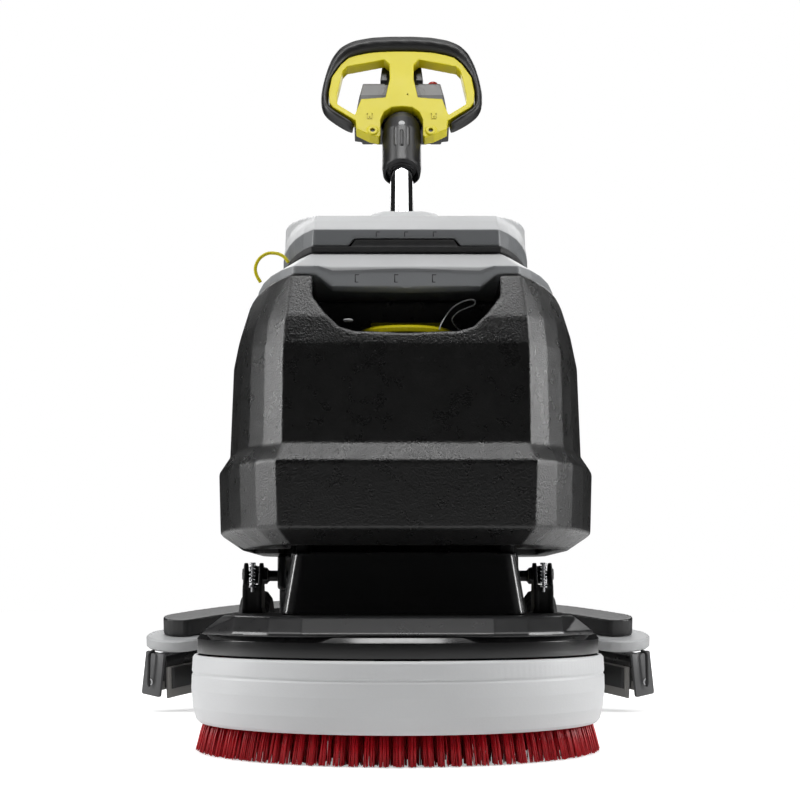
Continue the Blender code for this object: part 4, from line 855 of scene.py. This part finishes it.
def console():
    """The console's moulding, its knob, key switch and stop button, and the cable guides under the arms."""
    shell = moulded(copied("control_panel", "control_console"), 1.3 * MM, 2, 0.5)
    show(shell, "handle", "console", "control_panel")
    tilt = atan2(0.0226, 0.07)
    out = Vector((0, cos(tilt), sin(tilt))).to_track_quat("Z", "Y").to_matrix().to_4x4()

    def turned_knob(name, x, profile, body, finish, node, wave=None):
        piece = lathe(name, (0, 0, 0), profile, "z", 0.8 * MM, 96, wave)
        piece.data.transform(Matrix.Translation(in_handle(x, 0.0406, 0.088)) @ out)
        show(leaned(piece), body, finish, node, sharp=40)

    knob = [(0, 0.0004), (0.013, 0.0004), (0.0128, 0.004), (0.0118, 0.013), (0.01, 0.014), (0, 0.014)]
    flutes = fluted(0.7 * MM, 16, 0.0105)
    turned_knob("programme_dial", 0.05, knob, "program", "satin", "program_knob", flutes)
    barrel = [(0, 0.0004), (0.008, 0.0004), (0.0078, 0.0045), (0.0066, 0.011), (0.003, 0.012)]
    turned_knob("key_barrel", -0.05, [*barrel, (0, 0.0105)], "key", "steel", "key_switch")
    press = [(0, -0.0055), (0.006, -0.0055), (0.006, 0.003), (0.008, 0.0045), (0.008, 0.008)]
    press += [(0.005, 0.01), (0, 0.01)]
    press = lathe("stop_knob", in_handle(0.052, 0.012, 0.121), press, "z", 0.8 * MM, 48)
    show(leaned(press), "stop", "red", "stop_button")
    guide = [(0.035, 0.058), (0.043, 0.058), (0.044, 0.04), (0.051, 0.024), (0.065, 0.021), (0.065, 0.016)]
    guide += [(0.047, 0.016), (0.038, 0.03), (0.0352, 0.044)]
    wing = [(0.018, 0.15), (0.029, 0.15), (0.0235, 0.124), (0.039, 0.106), (0.039, 0.08)]
    wing.append((0.015, 0.08))
    shapes = (("cable_guide", guide, -0.0012, 0.02, 2.0), ("console_wing", wing, -0.0014, 0.004, 1.5))
    for side, word in SIDES:
        for name, shape, near, far, radius in shapes:
            outline = [(COLUMN.x + side * x, COLUMN.z + RING + z) for x, z in shape]
            depth = (COLUMN.y + near, COLUMN.y + far)
            made = plate(f"{name}_{word}", outline, *depth, "y", radius * MM, 0.8 * MM)
            show(leaned(made), "handle", "satin")


# ---------------- the brush head
def head():
    rim = [(0, 0.1205), (0.25, 0.1205), (0.2545, 0.1225), (0.2545, 0.14), (0.2501, 0.146), (0, 0.146)]
    rim = lathe("brush_cover_rim", DECK_AT, rim, sides=180, fillet=0.5 * MM)
    show(rim, "deck", "gloss", "deck_plate")
    skirt = [(0.253, 0.12), (0.2575, 0.12), (0.2604, 0.117), (0.2614, 0.1), (0.26, 0.0972)]
    skirt += [(0.2616, 0.0945), (0.262, 0.078), (0.26, 0.056), (0.2555, 0.04), (0.2515, 0.036)]
    skirt += [(0.2495, 0.036), (0.257, 0.06), (0.256, 0.113)]

    def crease(angle, radius, height):
        """Fine upright creases in the skirt's upper band, and long soft waves below it."""
        if radius < 0.2585:
            return 0.0
        share = max(0.0, 1 - abs(height - 0.107) / 0.012)
        fine = 0.3 * MM * sin(angle * 210 + 2.5 * sin(angle * 9))
        fine *= 0.4 + 0.6 * sin(angle * 5) ** 2
        return share * fine - 0.25 * MM * (1 + sin(angle * 7 + height * 40))

    apron = lathe("splash_apron", DECK_AT, skirt, fillet=2 * MM, sides=720, wave=crease)
    show(apron, "deck", "white", "splash_skirt")
    motor = [(0, 0.1465), (0.085, 0.1465), (0.085, 0.152), (0.08, 0.154), (0.08, 0.184), (0.085, 0.186)]
    motor += [(0.085, 0.19), (0.062, 0.195), (0.062, 0.234), (0.05, 0.239), (0, 0.239)]

    def fins(angle, radius, height):
        finned = 0.06 < radius < 0.081 and height < 0.235
        return -1.2 * MM * max(0.0, sin(angle * 30)) if finned else 0.0

    motor = lathe("head_motor", DECK_AT, motor, fillet=1.2 * MM, sides=240, wave=fins)
    show(motor, "deck", "steel", "brush_motor", sharp=40)
    disc = [(0, 0.07), (0.04, 0.07), (0.045, 0.045), (0.245, 0.045), (0.245, 0.06), (0.07, 0.07)]
    disc += [(0.066, 0.106), (0.03, 0.106), (0.03, 0.1195), (0, 0.1195)]
    show(lathe("brush_back", DECK_AT, disc, fillet=1.5 * MM, sides=144), "brush", "tank", "brush_disc")


def springs():
    """A tension spring and its stud in front of each head bracket."""
    turns, steps, coil = 6, 14, 4 * MM
    for side, word in SIDES:
        x, y, low, high = side * 0.1915, -0.2425, 0.204, 0.233
        line = []
        for i in range(turns * steps + 1):
            a = 2 * pi * i / steps
            z = low + (high - low) * i / (turns * steps)
            line.append((x + coil * cos(a), y + coil * sin(a), z))
        show(tube(f"head_spring_{word}", line, 0.8 * MM, 8), "deck", "steel")
        stud = [(0, 0.198), (2.2 * MM, 0.198), (2.2 * MM, 0.204), (5 * MM, 0.204), (5 * MM, 0.2056)]
        stud += [(2 * MM, 0.2056), (2 * MM, 0.234), (4.2 * MM, 0.234), (4.2 * MM, 0.2368), (0, 0.2368)]
        show(lathe(f"spring_stud_{word}", (x, y, 0), stud, "z", 0.4 * MM, 24), "deck", "steel")


def bristles():
    """The brush's tufts: rings of nylon filaments that spread towards the floor."""
    spread = random.Random(7)
    bm = bmesh.new()
    rings = ((0.2385, 92, 26, 0.0115, 1.0), (0.225, 84, 14, 0.006, 0.95), (0.2, 60, 9, 0.003, 1.1))
    rings += ((0.165, 48, 8, 0.002, 1.2), (0.125, 34, 8, 0.0, 1.2))
    for row, (radius, tufts, hairs, lean, thick) in enumerate(rings):
        for i in range(tufts):
            turn = 2 * pi * (i + 0.5 * (row % 2) + 0.1 * (spread.random() - 0.5)) / tufts
            sway = 0.0012 * (spread.random() - 0.5)
            for _ in range(hairs):
                about, off = 2 * pi * spread.random(), sqrt(spread.random())
                root = Vector((0.0046 * off * cos(about), 0.0052 * off * sin(about), 0.0446))
                tip = Vector((lean + root.x * 1.2, root.y * 1.28 + sway, 0.0004 + 0.0014 * spread.random()))
                filament(bm, root, tip, 0.00095 * thick, Matrix.Rotation(turn, 3, "Z"), radius, spread)
    brush = link("red_tufts", to_mesh("red_tufts", bm))
    show(brush, "brush", "bristle", "brush_bristles")


def filament(bm, root, tip, thick, turn, radius, spread):
    """One tapering filament, bowed outward, at a place on the brush."""
    rows = []
    bow = 0.0014 * (spread.random() - 0.2)
    for k in range(3):
        t = k / 2
        centre = root.lerp(tip, t) + Vector((bow * sin(pi * t), 0, 0))
        ring = []
        for corner in range(4):
            a = pi / 2 * corner
            offset = Vector((cos(a), sin(a), 0)) * thick * (1 - 0.3 * t)
            ring.append(bm.verts.new(DECK_AT + turn @ (centre + offset + Vector((radius, 0, 0)))))
        rows.append(ring)
    for low, high in zip(rows, rows[1:]):
        for i in range(4):
            bm.faces.new((low[i], low[(i + 1) % 4], high[(i + 1) % 4], high[i]))
    bm.faces.new(rows[0])
    bm.faces.new(rows[-1])


# ---------------- the wheels
def wheels():
    half, axle_y, axle_z = 0.022, 0.052, 0.1
    tyre = [(0.0733, -half * 0.8), (0.085, -half * 0.92), (0.09, -half), (0.0985, -half * 0.72)]
    tyre = both_ways([*tyre, (0.1, -half * 0.5)])
    rim_line = [(0.0088, -half * 0.9), (0.026, -half * 0.9), (0.03, -half * 0.35), (0.056, -half * 0.35)]
    rim_line = both_ways([*rim_line, (0.062, -half * 0.75), (0.0728, -half * 0.75)])

    def lugs(angle, radius, height):
        """Slanted grooves across the tread."""
        if radius < 0.09:
            return 0.0
        phase = (angle * 36 / (2 * pi) + abs(height) / half * 0.8) % 1.0
        return -2 * MM if phase < 0.22 else 0.0

    for side, word in SIDES:
        at = (side * 0.2095, axle_y, axle_z)
        tread = lathe(f"tread_{word}", at, tyre, "x", 1.5 * MM, 432, lugs)
        show(tread, f"wheel_{word}", "tyre", f"tyre_{word}", sharp=30)
        rim = lathe(f"rim_{word}", at, rim_line, "x", 1.5 * MM, 96)
        for i in range(6):
            a = 2 * pi * i / 6
            place = (at[0], axle_y + 0.043 * cos(a), axle_z + 0.043 * sin(a))
            cut(rim, lathe("hole", place, pin(0.0085, -0.02, 0.02), "x", 0, 24))
        show(rim, f"wheel_{word}", "grey", f"wheel_rim_{word}", sharp=32)
    axle = both_ways([(0, -0.244), (0.007, -0.244), (0.008, -0.2425)])
    axle = lathe("drive_axle", (0, axle_y, axle_z), axle, "x", 0.3 * MM, 48)
    show(axle, "chassis", "steel", "main_axle")
    for side, word in SIDES:
        nut = pin(0.014, -3 * MM, 3 * MM, 0.0082)
        nut = lathe(f"axle_nut_{word}", (side * 0.235, axle_y, axle_z), nut, "x", 0.8 * MM, 6)
        show(nut, "chassis", "steel", sharp=20)


def casters():
    tread = both_ways([(0.024, -0.015), (0.035, -0.015), (0.04, -0.011)])
    hub = [(0.0056, -0.015), (0.011, -0.015), (0.012, -0.008), (0.022, -0.008), (0.0238, -0.013)]
    hub = both_ways(hub)
    for side, word in SIDES:
        x, y, z = side * 0.15, 0.282, 0.04
        wheel = lathe(f"caster_tread_{word}", (x, y, z), tread, "x", 2 * MM, 96)
        show(wheel, f"caster_{word}", "blade", f"caster_wheel_{word}")
        core = lathe(f"caster_hub_{word}", (x, y, z), hub, "x", 0.8 * MM, 64)
        show(core, f"caster_{word}", "dim", sharp=40)
        for end, letter in ((-1, "a"), (1, "b")):
            nut = pin(7.5 * MM, -1.6 * MM, 1.6 * MM)
            nut = lathe(f"caster_bolt_{word}_{letter}", (x + end * 0.023, y, z), nut, "x", 0.6 * MM, 6)
            show(nut, f"swivel_{word}", "steel", sharp=20)


# ---------------- the squeegee, made lowered and then raised
SQUEEGEE_PIVOT = Vector((0.0, 0.215, 0.1))
SQUEEGEE_RAISED = radians(11.0)
ARC_RADIUS = 0.52
ARC_Y = 0.5285 - ARC_RADIUS
END_X = 0.404


def raised(obj):
    return turned_about(obj, SQUEEGEE_RAISED, "X", SQUEEGEE_PIVOT)


def arc_point(x, offset=0.0, z=0.0):
    """A point on the squeegee's arc, moved outward from its centre by offset."""
    angle = asin(x / ARC_RADIUS)
    reach = ARC_RADIUS + offset
    return Vector((reach * sin(angle), ARC_Y + reach * cos(angle), z))


def arc_strip(name, low, high, fillet, end_x):
    """An upright strip carried along the arc. Its corners low and high are (offset, z)."""
    section = [low, (high[0], low[1]), high, (low[0], high[1])]
    section = filleted(section, fillet, True, 2)
    limit, steps = asin(end_x / ARC_RADIUS), 120
    rings = []
    for i in range(steps + 1):
        x = ARC_RADIUS * sin(-limit + 2 * limit * i / steps)
        rings.append([arc_point(x, p.x, p.y) for p in section])
    return raised(skin(name, rings))


def squeegee():
    """The two rubber blades with their straps, and on each side an end, a knob and a support wheel."""
    for word, near, far in (("front", -0.027, -0.0226), ("rear", 0.0226, 0.027)):
        blade = arc_strip(f"gum_blade_{word}", (near, 0.0), (far, 0.052), 0.8 * MM, END_X - 0.0045)
        show(blade, "squeegee", "blade", f"squeegee_blade_{word}")
    for word, near, far in (("rear", 0.027, 0.029), ("front", -0.029, -0.027)):
        strap = arc_strip(f"blade_strap_{word}", (near, 0.015), (far, 0.0505), 0.6 * MM, END_X - 0.01)
        show(strap, "squeegee", "satin")

    def lobes(angle, radius, height):
        return 3 * MM * cos(5 * angle) if radius > 0.012 else 0.0

    star = [(0, 0.1265), (0.015, 0.1265), (0.02, 0.13), (0.02, 0.144), (0.015, 0.148), (0, 0.148)]
    tread = both_ways([(0.0046, -0.008), (0.024, -0.008), (0.0285, -0.005)])
    for side, word in SIDES:
        squeegee_end(side, word)
        knob = lathe(f"star_knob_{word}", arc_point(side * 0.12), star, "z", 2 * MM, 120, lobes)
        show(raised(knob), f"knob_{word}", "yellow", f"squeegee_knob_{word}")
        centre = arc_point(side * 0.3, -0.02) + Vector((-side * 0.016, -0.056, 0.029))
        wheel = lathe(f"guide_wheel_{word}", centre, tread, "x", 1.5 * MM, 96)
        show(raised(wheel), f"support_{word}", "blade", f"support_wheel_{word}")


def squeegee_end(side, word):
    """The deflector disc, the leaning end plate and the latch of the blade's strap."""
    disc = [(0.0062, 0.0772), (0.048, 0.0772), (0.051, 0.08), (0.051, 0.094), (0.048, 0.0968)]
    disc.append((0.0062, 0.0968))
    disc = lathe(f"wall_disc_{word}", arc_point(side * 0.369), disc, "z", 1.2 * MM, 144)
    show(raised(disc), f"roller_{word}", "mid", f"deflector_roller_{word}")
    angle = asin(END_X / ARC_RADIUS)
    turn = Matrix.Rotation(-angle if side > 0 else pi + angle, 4, "Z")
    place = Matrix.Translation(arc_point(side * (END_X - 0.0038))) @ turn
    top, lean = 0.075, 0.12  # the plate leans outward below its top
    outline = [(-0.024, top), (0.018, top), (0.022, 0.006), (0.02, 0.0036), (-0.02, 0.0036)]
    outline = [(side * y, z) for y, z in outline]
    slab = plate(f"end_plate_{word}", outline, 0.0003, 0.0052, "x", 2 * MM, 0.8 * MM)
    for vert in slab.data.vertices:
        vert.co.x += lean * (top - vert.co.z)
    slab.data.transform(place)
    show(raised(slab), "squeegee", "dim", f"end_cap_{word}", sharp=35)
    hook = [(0.004, 0.0, 0.0766), (0.012, 0.0, 0.0762), (0.0152, 0.0, 0.07), (0.0168, 0.0, 0.045)]
    hook += [(0.0182, 0.0, 0.025), (0.0165, 0.0, 0.0205)]
    line = [place @ p for p in smooth_route(hook, 2 * MM)]
    show(raised(tube(f"strap_latch_{word}", line, 2.6 * MM, 16)), "squeegee", "steel_black")
    ring, steps, radius = [], 32, 5 * MM
    for i in range(steps + 1):
        a = 2 * pi * i / steps
        ring.append(place @ Vector((0.015, radius * cos(a), 0.027 + radius * sin(a))))
    show(raised(tube(f"latch_ring_{word}", ring, 1.1 * MM, 10)), "squeegee", "white")


# ---------------- hoses, turbine and batteries
HOSE_ROUTE = [
    (0.0, 0.51, 0.2245),
    (0.0, 0.5045, 0.253),
    (-0.003, 0.492, 0.288),
    (-0.01, 0.472, 0.323),
    (-0.021, 0.446, 0.357),
    (-0.034, 0.416, 0.39),
    (-0.048, 0.386, 0.424),
    (-0.06, 0.356, 0.458),
    (-0.07, 0.33, 0.492),
    (-0.077, 0.313, 0.526),
    (-0.0795, 0.303, 0.555),
    (-0.08, 0.301, 0.574),
    (-0.08, 0.301, 0.5875),
]


def ribs(pitch, depth):
    """Rings round a hose. They stay inside its CAD radius."""
    return lambda travelled: -depth * (0.5 - 0.5 * cos(2 * pi * travelled / pitch))


def hoses():
    suction = tube("vacuum_hose", smooth_route(HOSE_ROUTE, 1.1 * MM), 0.0205, 32, ribs(7.2 * MM, 2.4 * MM))
    show(suction, None, "satin", "suction_hose")
    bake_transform(suction)
    x, y = 0.13, 0.3
    steps = 280
    line = [(x, y, 0.29 + i * 0.3 / steps) for i in range(steps + 1)]
    drain = tube("drain_pipe", line, 0.0185, 32, ribs(6.6 * MM, 2.2 * MM))
    show(drain, "chassis", "satin", "drain_hose")
    plug = [(0, 0.262), (0.017, 0.262), (0.0175, 0.266), (0.022, 0.268), (0.022, 0.2895), (0, 0.2895)]
    plug = lathe("drain_stopper", (x, y, 0), plug, "z", MM, 144, fluted(MM, 18, 0.0195))
    show(plug, "chassis", "yellow", "drain_plug")
    for name, at, radius in (("suction", (-0.08, 0.301, 0.56), 0.0232), ("drain", (x, y, 0.56), 0.0212)):
        clip = pin(radius, 0, 0.01, radius - 2.5 * MM)
        show(lathe(f"{name}_clamp", at, clip, "z", 0.5 * MM, 64), "chassis", "steel")


def machinery():
    """The vacuum turbine in its chamber, and the batteries' terminals."""
    can = [(0, 0.57), (0.054, 0.57), (0.06, 0.574), (0.06, 0.586), (0.056, 0.588)]
    can += [(0.056, 0.6), (0.048, 0.604), (0, 0.604)]
    can = lathe("turbine_can", (TANK_X + 0.11, 0.18, 0), can, "z", 1.2 * MM, 96)
    show(can, "chassis", "steel", "suction_turbine")
    post = [(0, 0.4385), (0.01, 0.4385), (0.01, 0.4405), (0.0045, 0.4405), (0.0045, 0.4425), (0, 0.4425)]
    for name, y in (("front", -0.118), ("rear", 0.064)):
        for side, word in SIDES:
            lug = lathe(f"{name}_terminal_{word}", (TANK_X + side * 0.095, y, 0), post, "z", 0.4 * MM, 32)
            show(lug, "chassis", "steel", sharp=30)


def carried_over():
    """The CAD nodes that stay get the finish of their slot."""
    for row in frame["record"]["subparts"]:
        node = frame["nodes"][row["node"]]
        if not node.hide_render:
            node.data.materials.clear()
            node.data.materials.append(FINISHES[SLOT_FINISHES[row["material_slot"]][0]])


camera()
cords()
lights()
world()
floor()
fresh_tank()
waste_tank()
lid()
rounded_pieces()
filler()
grip()
handle_plate()
column()
console()
head()
springs()
bristles()
wheels()
casters()
squeegee()
hoses()
machinery()
carried_over()
